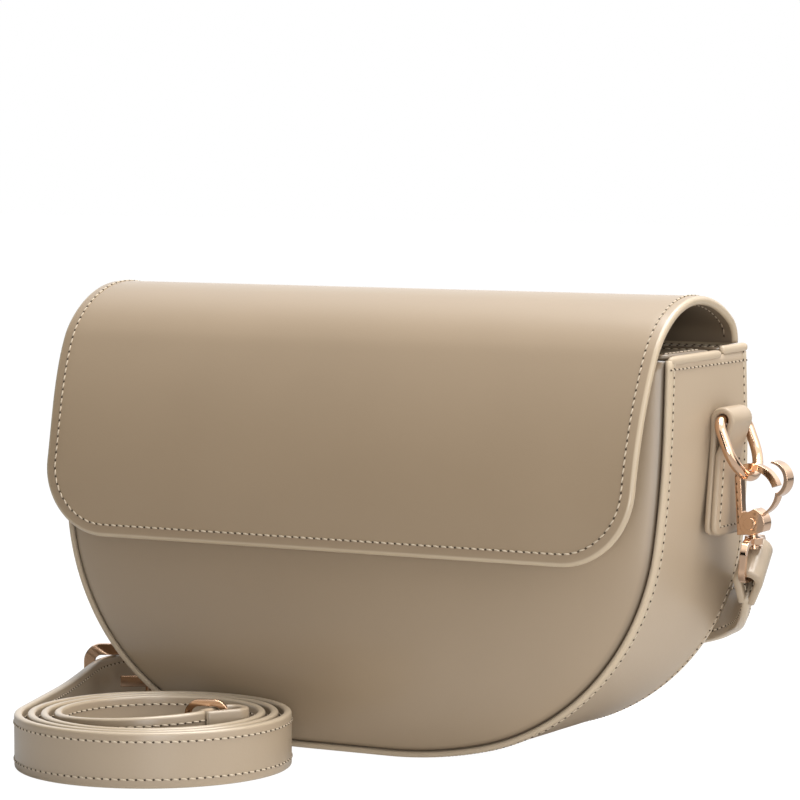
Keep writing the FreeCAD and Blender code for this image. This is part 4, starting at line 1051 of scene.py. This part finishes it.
@dataclass
class Flap:
    """Flap shell: a line of runs and arcs carried along X, with a rounded rim and rounded lower corners."""

    wardrobe: Wardrobe
    stitching: Stitching
    middle: float
    half_width: float = 125.5 * MM
    shift: float = 1.3 * MM
    wall: float = 3.3 * MM
    corner: float = 28 * MM
    start: tuple[float, float] = (31.35 * MM, 153.0 * MM)
    start_turn: float = 90.0
    root: float = 1.0 * MM
    arcs: tuple[tuple[float, float], ...] = (
        (12 * MM, 35.0), (49.896 * MM, 0.0), (43.824 * MM, -60.0), (150 * MM, -84.0))
    bottom: float = 77 * MM
    settle: float = 0.935
    flare: float = 4.0 * MM
    flare_start: tuple[float, float] = (0.08, 0.17)
    flare_end: tuple[float, float] = (0.82, 0.35)
    samples: int = 400
    columns: int = 41
    side_points: int = 110
    corner_points: int = 26
    rim_points: int = 9
    seam_share: float = 1.03
    stitch_inset: float = 4.6 * MM

    def profile(self, count: int) -> tuple[np.ndarray, np.ndarray, np.ndarray]:
        """Middle line of the shell: a straight root, four tangent arcs and a straight lower run.

        What rises above the start is settled by a constant share.

        Args:
            count: Number of even samples.

        Returns:
            Distance along the line, (count, 2) points in Y and Z, and outward directions.
        """
        heading = math.radians(self.start_turn)
        at = np.array([self.middle + self.start[0], self.start[1]])
        pieces = [at[None]]
        pieces.append(pieces[-1][-1:] + self.root * np.array([-math.cos(heading), math.sin(heading)]))
        for outer, target in self.arcs:
            radius = outer - self.wall / 2
            centre = pieces[-1][-1] - radius * np.array([math.sin(heading), math.cos(heading)])
            turn = np.linspace(heading, math.radians(target), 40)[1:]
            pieces.append(centre + radius * np.stack([np.sin(turn), np.cos(turn)], axis=1))
            heading = math.radians(target)
        fall = (pieces[-1][-1, 1] - self.bottom) / math.sin(-heading)
        pieces.append(pieces[-1][-1:] + fall * np.array([-math.cos(heading), math.sin(heading)]))
        line = np.concatenate(pieces)
        line[:, 1] -= (1 - self.settle) * np.maximum(line[:, 1] - self.start[1], 0)
        even = resample(line, count)
        along = unit(np.gradient(even, axis=0))
        return travelled(even), even, np.stack([along[:, 1], -along[:, 0]], axis=1)

    def lift(self, s: np.ndarray, x: np.ndarray, offset: np.ndarray) -> np.ndarray:
        """Point of the shell from the distance along the line, the place across and the distance outwards.

        The left side spreads a little over the crown, by a smooth step of the distance from each end.

        Args:
            s: Distance along the line.
            x: Place along X.
            offset: Distance from the middle surface, outwards.

        Returns:
            (..., 3) points.
        """
        step, line, out = self.profile(self.samples)
        out = unit(at_distance(s, step, out))
        place = at_distance(s, step, line)
        past = np.maximum(s - step[-1], 0) + np.minimum(s, 0)
        ahead = np.stack([-out[..., 1], out[..., 0]], axis=-1)
        place = place + past[..., None] * ahead + out * np.asarray(offset)[..., None]
        (low, rise), (high, fall) = self.flare_start, self.flare_end
        share = s / step[-1]
        fade = ease(np.minimum((share - low) / rise, (high - share) / fall))
        spread = self.flare * fade * np.clip(-x / self.half_width, 0, None)
        return np.concatenate([np.asarray(x - spread)[..., None] + self.shift, place], axis=-1)

    def border(self, inset: float) -> tuple[np.ndarray, np.ndarray, np.ndarray]:
        """Loop round the flat pattern: top edge, side, rounded corner and lower edge, moved inwards.

        Args:
            inset: Distance inwards.

        Returns:
            The loop (s, x) with outward directions, and the right side's s and x.
        """
        length = self.profile(self.samples)[0][-1]
        radius = self.corner - inset
        top, low = inset - self.wall / 2, length - self.corner
        straight = np.linspace(top, low, self.side_points)[:-1]
        turn = np.linspace(0, np.pi / 2, self.corner_points)
        s = np.concatenate([straight, low + radius * np.sin(turn)])
        x = np.concatenate([np.full(len(straight), self.half_width - inset),
                            self.half_width - self.corner + radius * np.cos(turn)])
        out_s = np.concatenate([np.zeros(len(straight)), np.sin(turn)])
        out_x = np.concatenate([np.ones(len(straight)), np.cos(turn)])
        side = np.stack([s, x, out_s, out_x], axis=1)
        q = np.linspace(-1, 1, self.columns)[1:-1]
        upper = np.stack([np.full_like(q, top), q * x[0], np.full_like(q, -1.0), np.zeros_like(q)], axis=1)
        lower = np.stack([np.full_like(q, s[-1]), -q * x[-1], np.ones_like(q), np.zeros_like(q)], axis=1)
        left = side[::-1] * np.array([1, -1, 1, -1])
        loop = np.concatenate([upper, side, lower, left])
        return loop, s, x

    def build(self) -> bpy.types.Object:
        """Make the shell as two faces joined by a half-round rim.

        Returns:
            The flap.
        """
        edge = self.wall / 2
        columns = self.columns
        loop, s, x = self.border(edge)
        q = np.linspace(-1, 1, columns)
        grid_s = np.broadcast_to(s[:, None], (len(s), columns))
        grid_x = x[:, None] * q
        outer = self.lift(grid_s, grid_x, np.full(grid_s.shape, edge))
        inner = self.lift(grid_s, grid_x, np.full(grid_s.shape, -edge))
        rows = len(s)
        size = rows * columns
        turn = np.linspace(0, np.pi, self.rim_points + 2)[1:-1]
        rim_s = loop[:, 0] + edge * np.sin(turn)[:, None] * loop[:, 2]
        rim_x = loop[:, 1] + edge * np.sin(turn)[:, None] * loop[:, 3]
        rim = self.lift(rim_s, rim_x, np.broadcast_to(edge * np.cos(turn)[:, None], rim_s.shape))
        index = np.arange(size).reshape(rows, columns)
        ring = np.concatenate([index[0, 1:-1], index[:, -1], index[-1, ::-1][1:-1], index[::-1, 0]])
        around = len(ring)
        rim_index = 2 * size + np.arange(rim.shape[0] * around).reshape(-1, around)
        strips = np.concatenate([ring[None], rim_index, size + ring[None]])
        after = np.roll(strips, -1, axis=1)
        band = np.stack([strips[:-1], strips[1:], after[1:], after[:-1]], axis=-1).reshape(-1, 4)
        faces = grid_quads(rows, columns)
        quads = np.concatenate([faces, grid_quads(rows, columns, start=size, flip=True), band])
        points = np.concatenate([outer.reshape(-1, 3), inner.reshape(-1, 3), rim.reshape(-1, 3)])
        wear_and_shade = np.concatenate([np.zeros(2 * size), np.full(rim.shape[0] * around, 1.0)])
        item = add_mesh("flap_leather", points, quads, wear_and_shade=wear_and_shade)
        finishes = [self.wardrobe.panel, self.wardrobe.lining]
        self.wardrobe.stand_in(item, finishes, Slots.TAUPE, ["flap_outer", "flap_lining"])
        number = np.zeros(len(quads), np.int32)
        number[len(faces):2 * len(faces)] = 1
        item.data.polygons.foreach_set("material_index", number)
        seam = self.border(self.stitch_inset)[0][columns - 2:]
        for offset in (edge, -edge):
            line = self.lift(seam[:, 0], seam[:, 1], np.full(len(seam), offset * self.seam_share))
            face = unit(line - self.lift(seam[:, 0], seam[:, 1], np.zeros(len(seam))))
            self.stitching.lay(line, face, Bodies.FLAP.value, offset < 0)
        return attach(item, Bodies.FLAP.value)


# Side tabs


@dataclass
class Tab:
    """Folded tab: a ribbon up the gusset, round the ring's bar and down over itself, broader below."""

    wardrobe: Wardrobe
    stitching: Stitching
    hand: int
    y: float
    bar_z: float = 126.6 * MM
    face: float = 130 * MM
    wall: float = 2.4 * MM
    bar: float = 2.35 * MM
    throat: float = 13 * MM
    drop: float = 42 * MM
    narrow: float = 17 * MM
    broad: float = 27.5 * MM
    corner: float = 4.5 * MM
    corner_share: float = 0.95
    bow_share: float = 0.6
    fold_gap: float = 0.03 * MM
    edge_share: float = 0.42
    edge_points: int = 5
    stitch_inset: float = 3.2 * MM
    seam_start: float = 2 * MM
    seam_lift: float = 0.08 * MM

    def spread(self, z: np.ndarray) -> np.ndarray:
        """Width of the tab at a height: even along the throat, then growing evenly to the ends.

        Args:
            z: Heights above the bar.

        Returns:
            Widths.
        """
        share = np.clip((-z - self.throat / 2) / (self.drop - self.throat / 2), 0, 1)
        return self.narrow + (self.broad - self.narrow) * share

    def build(self, node: str) -> bpy.types.Object:
        """Make the tab.

        Args:
            node: CAD node it stands for.

        Returns:
            The tab.
        """
        half = self.wall / 2
        r = self.bar + half
        cx = self.wall + self.bar
        lean = math.atan2(cx + r - 1.5 * self.wall, self.throat)
        turn = np.linspace(np.pi, -lean * self.bow_share, 26)
        rise = np.linspace(-self.drop, 0, 36)[:-1]
        up = np.stack([np.full_like(rise, half), rise], axis=1)
        bow = np.array([cx, 0]) + r * circle(turn)
        fall = np.linspace(0, 1, 14)[1:, None]
        throat = np.array([1.5 * self.wall + self.fold_gap, -self.throat])
        down = bow[-1] * (1 - fall) + throat * fall
        last = np.stack([np.full(26, throat[0]), np.linspace(-self.throat, -self.drop, 27)[1:]], axis=1)
        line = np.concatenate([up, bow, down, last])
        z = line[:, 1]
        past = np.clip((-z - self.drop + self.corner) / self.corner, 0, 1)
        width = self.spread(z) - 2 * self.corner_share * self.corner * (1 - np.sqrt(1 - past ** 2))
        path = places(self.hand * (self.face + line[:, 0]), self.y, self.bar_z + z)
        radius = self.edge_share * self.wall
        base = rounded_section(2 * radius, self.wall, radius, self.edge_points, 0)
        side = np.repeat([1, 1, -1, -1], self.edge_points)
        sections = np.stack([base[:, 0] + side * (width[:, None] / 2 - radius),
                             np.broadcast_to(base[:, 1], (len(line), len(base)))], axis=-1)
        item = sweep(f"{node}_leather", path, (0, 1.0, 0), sections)
        self.wardrobe.stand_in(item, [self.wardrobe.gusset], Slots.GUSSET, [node])
        levels = np.linspace(-self.throat - self.seam_start, -self.drop + self.stitch_inset, 30)
        half_seam = self.spread(levels) / 2 - self.stitch_inset
        across = np.concatenate([-half_seam, half_seam[::-1]])
        down = np.concatenate([levels, levels[::-1]])
        outer = self.hand * (self.face + 2 * self.wall + self.seam_lift)
        self.stitching.lay(places(outer, self.y + across, self.bar_z + down), (self.hand, 0, 0))
        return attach(item, Bodies.BAG.value)


# The strap


@dataclass
class Strap:
    """Shoulder strap as it lies: fold at the clasp, riser, floor run, coil and inner fold."""

    wardrobe: Wardrobe
    stitching: Stitching
    middle: float
    width: float = 20 * MM
    wall: float = 3.0 * MM
    edge: float = 1.1 * MM
    stitch_inset: float = 3.3 * MM
    coil_centre: tuple[float, float] = (-46.4 * MM, -99.6 * MM)
    coil_radius: float = 49.2 * MM
    coil_pitch: float = 4.8 * MM
    half_turns: int = 6
    coil_start: float = 198.0
    end_radius: float = 31.0 * MM
    end_turn: float = 147.0
    end_run: float = 1.5 * MM
    end_lift: float = 3.05 * MM
    buckle_lift: float = 2.5 * MM
    buckle_span: float = 75 * MM
    buckle_steep: float = 1.15
    still_share: float = 0.62
    half_width: float = 130 * MM
    back_reach: float = 42 * MM
    floor_way: tuple[tuple[float, float], ...] = ((-0.08, 1.393), (-0.808, 1.476), (-1.023, 0.0))
    floor_radii: tuple[float, float] = (38 * MM, 60 * MM)
    riser_way: tuple[Triple, ...] = (
        (0.904, 1.08, 0.862), (0.715, 1.262, 0.736), (0.477, 1.357, 0.519), (0.215, 1.393, 0.301))
    riser_twist: tuple[Triple, ...] = (
        (-0.2, 0.4, 0.85), (-0.1, 0.12, 0.95), (0.0, 0.0, 1.0), (0.0, 0.0, 1.0))
    ring_bar: Triple = (134.75 * MM, RING_BEHIND, 126.6 * MM)
    ring_reach: float = 22 * MM
    ring_swing: float = 21.5
    ring_in_bow: float = 1.1 * MM
    clasp_lean: float = -3.0
    eye_tilt: float = 8.0
    eye_turn: float = 8.0
    fold_tilt: float = 25.0
    eye_level: float = -22.4 * MM
    eye_bar: float = -36.0 * MM
    fold_centre: float = -33.3 * MM
    fold_radius: float = 3.6 * MM
    fold_reach: float = 10.5 * MM
    fold_gap: float = 0.4 * MM
    leg_gap: float = 0.05 * MM
    run_points: int = 170
    pull: Triple = (-0.27, 0.43, -0.86)
    pulled_width: Triple = (-0.14, 0.80, 0.58)
    pulled_slide: float = 3.5 * MM
    pulled_radius: float = 2.5 * MM
    pulled_reach: float = 7.5 * MM

    @staticmethod
    def about(level: float, degrees: float) -> Matrix:
        """Turn about a level line along Y.

        Args:
            level: Height of the line.
            degrees: Angle.

        Returns:
            The turn.
        """
        rise = Matrix.Translation((0, 0, level))
        return rise @ Matrix.Rotation(math.radians(degrees), 4, "Y") @ rise.inverted()

    def fold_frame(self) -> Matrix:
        """Placement of the right fold: the clasp hangs from the ring, the eye tilts on it, the fold on that.

        Returns:
            Matrix from the fold's own axes to the bag's.
        """
        swing = math.radians(self.ring_swing)
        wire = Vector(self.ring_bar) + self.ring_reach * Vector((math.sin(swing), 0, -math.cos(swing)))
        lean = Matrix.Rotation(math.radians(self.clasp_lean), 4, "Y")
        base = wire + Vector((0, self.middle, 0)) - lean @ Vector((0, 0, self.ring_in_bow))
        spin = Matrix.Rotation(math.radians(self.eye_turn), 4, "Z")
        hang = Matrix.Translation(base) @ lean
        eye = self.about(self.eye_level, self.eye_tilt)
        return hang @ eye @ spin @ self.about(self.eye_bar, self.fold_tilt)

    def pulled_frame(self) -> Matrix:
        """Placement of the right fold when the strap's pull has turned it on the eye's bar.

        Returns:
            Matrix from the fold's own axes to the bag's.
        """
        centre = self.fold_frame() @ Vector((0, 0, self.eye_bar))
        wide = Vector(self.pulled_width).normalized()
        up = -Vector(self.pull)
        up = (up - wide * up.dot(wide)).normalized()
        turn = Matrix((wide.cross(up), wide, up)).transposed().to_4x4()
        shift = Matrix.Translation(centre + wide * self.pulled_slide)
        return shift @ turn @ Matrix.Translation((0, 0, -self.eye_bar))

    def on_plan(self, across: float, behind: float) -> np.ndarray:
        """Point of the floor.

        Args:
            across: Share of the half width.
            behind: Share of the back's reach.

        Returns:
            The point in X and Y.
        """
        return np.array([across * self.half_width, behind * self.back_reach + self.middle])

    def coil(self) -> np.ndarray:
        """Centre line of the coil: half-turn arcs, each half a pitch tighter than the last.

        Returns:
            (n, 2) points.
        """
        x, y = self.coil_centre[0], self.coil_centre[1] + self.middle
        parts = []
        for k in range(self.half_turns):
            begin = self.coil_start + 180 * k
            radius = self.coil_radius - self.coil_pitch / 2 * k
            turn = np.radians(np.linspace(begin, begin + 180, 61)[:-1])
            parts.append(np.array([x, y]) + radius * circle(turn))
            flip = math.radians(begin + 180)
            x += self.coil_pitch / 2 * math.cos(flip)
            y += self.coil_pitch / 2 * math.sin(flip)
        last = math.radians(self.coil_start + 180 * self.half_turns)
        radius = self.coil_radius - self.coil_pitch / 2 * self.half_turns
        parts.append(np.array([[x + radius * math.cos(last), y + radius * math.sin(last)]]))
        return np.concatenate(parts)

    def inner_end(self, start: np.ndarray) -> tuple[np.ndarray, float]:
        """Arc and short run from the coil to the inner fold.

        Args:
            start: End of the coil.

        Returns:
            (n, 2) points and the heading at their end.
        """
        heading = math.radians(self.coil_start + 180 * self.half_turns + 90)
        radius = self.end_radius
        centre = start + radius * np.array([-math.sin(heading), math.cos(heading)])
        turn = heading + np.radians(np.linspace(0, self.end_turn, 50))
        arc = centre + radius * np.stack([np.sin(turn), -np.cos(turn)], axis=1)
        ahead = np.array([math.cos(turn[-1]), math.sin(turn[-1])])
        return np.concatenate([arc[1:], arc[-1:] + self.end_run * ahead]), float(turn[-1])

    def floor_run(self, goal: np.ndarray) -> np.ndarray:
        """Straight runs joined by tangent arcs, from behind the bag to the coil.

        Args:
            goal: Start of the coil.

        Returns:
            (n, 2) points.
        """
        points = [self.on_plan(*shares) for shares in self.floor_way] + [goal]
        line = [points[0][None]]
        for before, corner, after, radius in zip(points, points[1:], points[2:], self.floor_radii):
            into, away = unit(corner - before), unit(after - corner)
            turn = math.atan2(into[0] * away[1] - into[1] * away[0], float(into @ away))
            cut = radius * abs(math.tan(turn / 2))
            side = math.copysign(1, turn) * np.array([-into[1], into[0]])
            centre = corner - cut * into + radius * side
            swing = np.linspace(0, turn, 24)
            arm = -radius * side
            line.append(centre + np.stack([arm[0] * np.cos(swing) - arm[1] * np.sin(swing),
                                           arm[0] * np.sin(swing) + arm[1] * np.cos(swing)], axis=1))
        line.append(points[-1][None])
        return resample(np.concatenate(line), self.run_points)

    def riser(self) -> tuple[np.ndarray, np.ndarray]:
        """Twisting stretch from the clasp's fold down to the floor, a smooth line through its stations.

        Returns:
            (n, 3) points and (n, 3) width directions.
        """
        place = self.pulled_frame()
        foot = self.fold_centre - self.fold_reach - self.wall - self.fold_gap
        level = (self.fold_frame() @ Vector((0, 0, foot))).z
        top = place @ Vector((0, 0, self.fold_centre - self.pulled_reach))
        wide = place.to_3x3() @ Vector((0, 1, 0))
        spots = np.array([tuple(top)] + [(*self.on_plan(x, y), z * level) for x, y, z in self.riser_way]
                         + [(*self.on_plan(*self.floor_way[0]), self.width / 2)])
        twist = np.array([tuple(wide)] + list(self.riser_twist) + [(0, 0, 1)])
        leave = place.to_3x3() @ Vector((0, 0, -1))
        slope = np.gradient(spots, axis=0)
        slope[0] = np.array(leave) * np.linalg.norm(spots[1] - spots[0])
        slope[-1] = np.array([-1, 0, 0]) * np.linalg.norm(spots[-1] - spots[-2])
        share = np.linspace(0, 1, 17)[:-1, None]
        a, b = 2 * share ** 3 - 3 * share ** 2 + 1, share ** 3 - 2 * share ** 2 + share
        c, d = -2 * share ** 3 + 3 * share ** 2, share ** 3 - share ** 2
        line, turned = [], []
        for k in range(len(spots) - 1):
            line.append(a * spots[k] + b * slope[k] + c * spots[k + 1] + d * slope[k + 1])
            turned.append(a * twist[k] + c * twist[k + 1])
        return np.concatenate(line), np.concatenate(turned)

    def section(self) -> np.ndarray:
        """Outline of the strap.

        Returns:
            (k, 2) points.
        """
        return rounded_section(self.width, self.wall, self.edge, per_side=5)

    def fold(self, name: str, place: Matrix, size: tuple[float, float], body: str,
             node: str) -> bpy.types.Object:
        """Teardrop fold round an eye's bar: two straight legs and an arc between them.

        Args:
            name: Name of the piece.
            place: Placement of the clasp's axes.
            size: Inner radius of the arc and length of the legs.
            body: Body it rides on.
            node: CAD node it stands for.

        Returns:
            The fold.
        """
        inner, reach = size
        r = inner + self.wall / 2
        lean = math.asin(inner / reach)
        turn = np.linspace(-lean, np.pi + lean, 40)
        bow = np.array([0, self.fold_centre]) + r * circle(turn)
        foot = self.fold_centre - reach - self.wall
        legs = np.linspace(0, 1, 14)[:-1, None]
        end = np.array([self.wall / 2 + self.leg_gap, foot])
        right = end * (1 - legs) + bow[0] * legs
        left = (right * np.array([-1, 1]))[::-1]
        flat = np.concatenate([right, bow, left])
        path = moved(places(flat[:, 0], 0, flat[:, 1]), place)
        wide = np.array(place.to_3x3() @ Vector((0, 1, 0)))
        item = sweep(name, path, wide, self.section())
        self.wardrobe.stand_in(item, [self.wardrobe.strap], Slots.STRAP, [node])
        along = unit(np.gradient(path, axis=0))
        face = np.cross(along, wide)
        for hand in (-1, 1):
            line = path + wide * hand * (self.width / 2 - self.stitch_inset) + face * self.wall / 2
            self.stitching.lay(line, face, body)
        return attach(item, body)

    def ribbon(self, name: str, path: np.ndarray, wide: np.ndarray, nodes: Sequence[str],
               body: str) -> bpy.types.Object:
        """Length of strap with a row of stitches along each edge of both faces.

        Args:
            name: Name of the piece.
            path: (n, 3) centre line.
            wide: (n, 3) width directions.
            nodes: CAD nodes it stands for.
            body: Body it rides on, or name of its bend.

        Returns:
            The length of strap.
        """
        section = self.section()
        wear_and_shade = np.clip((np.abs(section[:, 0]) - self.width / 2 + self.edge) / self.edge, 0, 1)
        item = sweep(name, path, wide, section, wear_and_shade=wear_and_shade)
        self.wardrobe.stand_in(item, [self.wardrobe.strap], Slots.STRAP, nodes)
        along = unit(np.gradient(path, axis=0))
        across = unit(wide - along * np.sum(wide * along, axis=1, keepdims=True))
        face = np.cross(along, across)
        for hand in (-1, 1):
            for side in (-1, 1):
                edge = path + across * hand * (self.width / 2 - self.stitch_inset)
                self.stitching.lay(edge + face * side * self.wall / 2, face * side, body)
        self.stitching.fasten(item, body)
        return item

    def build(self) -> None:
        """Make the whole strap."""
        coil = self.coil()
        end, heading = self.inner_end(coil[-1])
        run = self.floor_run(coil[0])
        corner = self.on_plan(*self.floor_way[-1])
        near = 1 - np.linalg.norm(run - corner, axis=1) / self.buckle_span
        rise = self.buckle_lift * np.minimum(1, self.buckle_steep * ease(near))
        lift = self.end_lift * ease(np.linspace(0, 1, len(end)))
        flat = np.concatenate([run, coil[1:], end])
        height = np.concatenate([rise, np.zeros(len(coil) - 1), lift]) + self.width / 2
        floor = np.concatenate([flat, height[:, None]], axis=1)
        riser, twist = self.riser()
        riser = np.concatenate([riser, floor[:1]])
        twist = np.concatenate([twist, [[0, 0, 1.0]]])
        still = Vector(riser[int(self.still_share * len(riser))])
        self.stitching.bends["riser"] = (Bodies.BAG.value, Bodies.RING_RIGHT.value, still, Vector(riser[0]))
        self.ribbon("strap_rising", riser, twist, ("strap_riser",), "riser")
        upright = np.tile([0, 0, 1.0], (len(floor), 1))
        lying = ("strap_floor_run", "strap_coil", "strap_end_run")
        self.ribbon("strap_lying", floor, upright, lying, Bodies.BAG.value)
        self.fold("strap_fold_right", self.pulled_frame(), (self.pulled_radius, self.pulled_reach),
                  Bodies.EYE_RIGHT.value, "strap_loop_right")
        foot = self.fold_centre - self.fold_reach - self.wall
        lay = (Matrix.Rotation(heading, 4, "Z") @ Matrix.Rotation(math.pi / 2, 4, "Y")
               @ Matrix.Rotation(math.pi / 2, 4, "Z"))
        last = Vector((*end[-1], self.width / 2 + self.end_lift))
        place = Matrix.Translation(last - lay.to_3x3() @ Vector((0, 0, foot))) @ lay
        self.fold("strap_fold_left", place, (self.fold_radius, self.fold_reach), Bodies.BAG.value,
                  "strap_loop_left")


# Fittings


@dataclass
class Fittings:
    """Plated rings, clasps and buckle, the magnets and the hidden layers, on their CAD forms."""

    wardrobe: Wardrobe
    plated: tuple[str, ...] = ("d_ring", "clasp", "buckle")

    def build(self) -> None:
        """Give every kept node its finish."""
        for node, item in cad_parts.items():
            if "magnet" in node or "spring" in node:
                self.wardrobe.dress(item, self.wardrobe.steel)
            elif node.startswith(self.plated):
                self.wardrobe.dress(item, self.wardrobe.gold)
            else:
                self.wardrobe.dress(item, self.wardrobe.cloth)


# The studio


@dataclass
class Studio:
    """Camera, soft lights and pale floor."""

    middle: float
    azimuth: float = 29.69
    pitch: float = 4.37
    distance: float = 1.429
    aim: tuple[float, float] = (0.0006, 0.129)
    focal_px: float = 3756.0
    photo_px: int = 800
    sensor: float = 36.0
    far: float = 50.0
    bright_side: Triple = (0.55, -0.1, 0.83)
    bright_span: tuple[float, float, float, float] = (0.05, 0.75, 0.0, 1.6)
    band_span: tuple[float, float, float, float] = (0.12, 0.40, 0.03, 1.0)
    back_wall: Triple = (-0.40, 0.88, 0.25)
    wall_span: tuple[float, float, float, float] = (0.30, 0.85, 0.0, 1.1)
    fill_light: tuple[float, float] = (0.20, 0.04)
    white: Triple = (1.0, 1.0, 1.0)
    floor_size: float = 12.0
    floor_level: float = -0.4 * MM
    floor_tone: Triple = (0.9, 0.9, 0.9)
    floor_mirrored: Triple = (0.4, 0.4, 0.4)
    floor_light: float = 1.10
    floor_glow: float = 0.9
    floor_bounce: float = 0.3
    lamps: tuple[tuple[str, Triple, float, float], ...] = (
        ("top", (0.25, 0.14, 1.15), 0.9, 24), ("side", (1.4, -0.35, 0.55), 1.1, 7.5),
        ("low", (0.75, -1.1, 0.10), 0.6, 7.5))
    lamp_aim: Triple = (0.0, 0.0, 0.08)

    def camera(self) -> None:
        """Place the camera as the fitted perspective has it."""
        a, e = math.radians(self.azimuth), math.radians(self.pitch)
        forward = Vector((-math.sin(a) * math.cos(e), math.cos(a) * math.cos(e), -math.sin(e)))
        target = Vector((self.aim[0] * math.cos(a), self.aim[0] * math.sin(a) + self.middle, self.aim[1]))
        data = bpy.data.cameras.new("camera")
        data.sensor_width = self.sensor
        data.lens = self.focal_px * self.sensor / self.photo_px
        data.clip_end = self.far
        item = bpy.data.objects.new("camera", data)
        item.location = target - forward * self.distance
        item.rotation_euler = forward.to_track_quat("-Z", "Y").to_euler()
        bpy.context.scene.collection.objects.link(item)
        bpy.context.scene.camera = item

    def lamp(self, name: str, place: Triple, size: float, power: float) -> None:
        """Square soft light aimed at the bag.

        Args:
            name: Name of the light.
            place: Where it stands.
            size: Side of the square.
            power: Watts.
        """
        data = bpy.data.lights.new(name, "AREA")
        data.shape = "SQUARE"
        data.size = size
        data.energy = power
        item = bpy.data.objects.new(name, data)
        item.location = place
        item.rotation_euler = (Vector(self.lamp_aim) - Vector(place)).to_track_quat("-Z", "Y").to_euler()
        bpy.context.scene.collection.objects.link(item)

    def floor(self) -> None:
        """Pale floor, nearly white to the eye and greyer as light and in the metal."""
        half = self.floor_size / 2
        corners = places(half * np.array([-1, 1, 1, -1]), half * np.array([-1, -1, 1, 1]), self.floor_level)
        item = add_mesh("floor", corners, np.array([[0, 1, 2, 3]]), smooth=False)
        made, build = blank("pale_floor")
        path = build.add("ShaderNodeLightPath").outputs
        mirrored = path["Is Glossy Ray"]
        matt = build.add("ShaderNodeBsdfDiffuse",
                         Color=build.mix(mirrored, shade(self.floor_tone), shade(self.floor_mirrored)))
        glow = build.add("ShaderNodeEmission", Color=shade(self.white), Strength=self.floor_light)
        lit = build.math("MULTIPLY", build.math("SUBTRACT", 1.0, mirrored), self.floor_bounce)
        share = build.scaled(path["Is Camera Ray"], self.floor_glow - self.floor_bounce, lit)
        build.close(build.blend(share, matt, glow))
        item.data.materials.append(made)

    def surroundings(self) -> None:
        """White to the eye, softer as light, and brighter at the top right with a dark band for the metal."""
        world = bpy.context.scene.world or bpy.data.worlds.new("world")
        bpy.context.scene.world = world
        world.use_nodes = True
        world.node_tree.nodes.clear()
        build = Nodes(world.node_tree)
        way = build.add("ShaderNodeTexCoord").outputs["Generated"]
        lit = build.ramp(build.toward(way, self.bright_side), self.bright_span)
        height = build.add("ShaderNodeSeparateXYZ", Vector=way).outputs["Z"]
        band = build.ramp(build.math("ABSOLUTE", height), self.band_span)
        wall = build.ramp(build.toward(way, self.back_wall), self.wall_span)
        mirror = build.math("ADD", build.math("MULTIPLY", lit, band), wall)
        seen, fill, shine = (build.add("ShaderNodeBackground", Color=shade(self.white), Strength=strength)
                             for strength in (1.0, build.scaled(lit, *self.fill_light), mirror))
        path = build.add("ShaderNodeLightPath").outputs
        mirrored = build.blend(path["Is Glossy Ray"], fill, shine)
        build.close(build.blend(path["Is Camera Ray"], mirrored, seen), "ShaderNodeOutputWorld")

    def build(self) -> None:
        """Set everything up."""
        self.camera()
        self.floor()
        self.surroundings()
        for lamp in self.lamps:
            self.lamp(*lamp)
        bpy.context.scene.view_settings.view_transform = "Standard"


def main() -> None:
    """Build the looks of the bag."""
    logging.basicConfig(level=logging.INFO)
    low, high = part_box("gusset")
    middle = (low[1] + high[1]) / 2
    wardrobe = Wardrobe()
    stitching = Stitching(wardrobe)
    Studio(middle).build()
    Fittings(wardrobe).build()
    BagBody(wardrobe, stitching, middle).build()
    Flap(wardrobe, stitching, middle).build()
    for hand, side in SIDES:
        Tab(wardrobe, stitching, hand, middle + RING_BEHIND).build(f"side_tab_{side}")
    Strap(wardrobe, stitching, middle).build()
    stitching.sew()


if __name__ == "__main__":
    main()
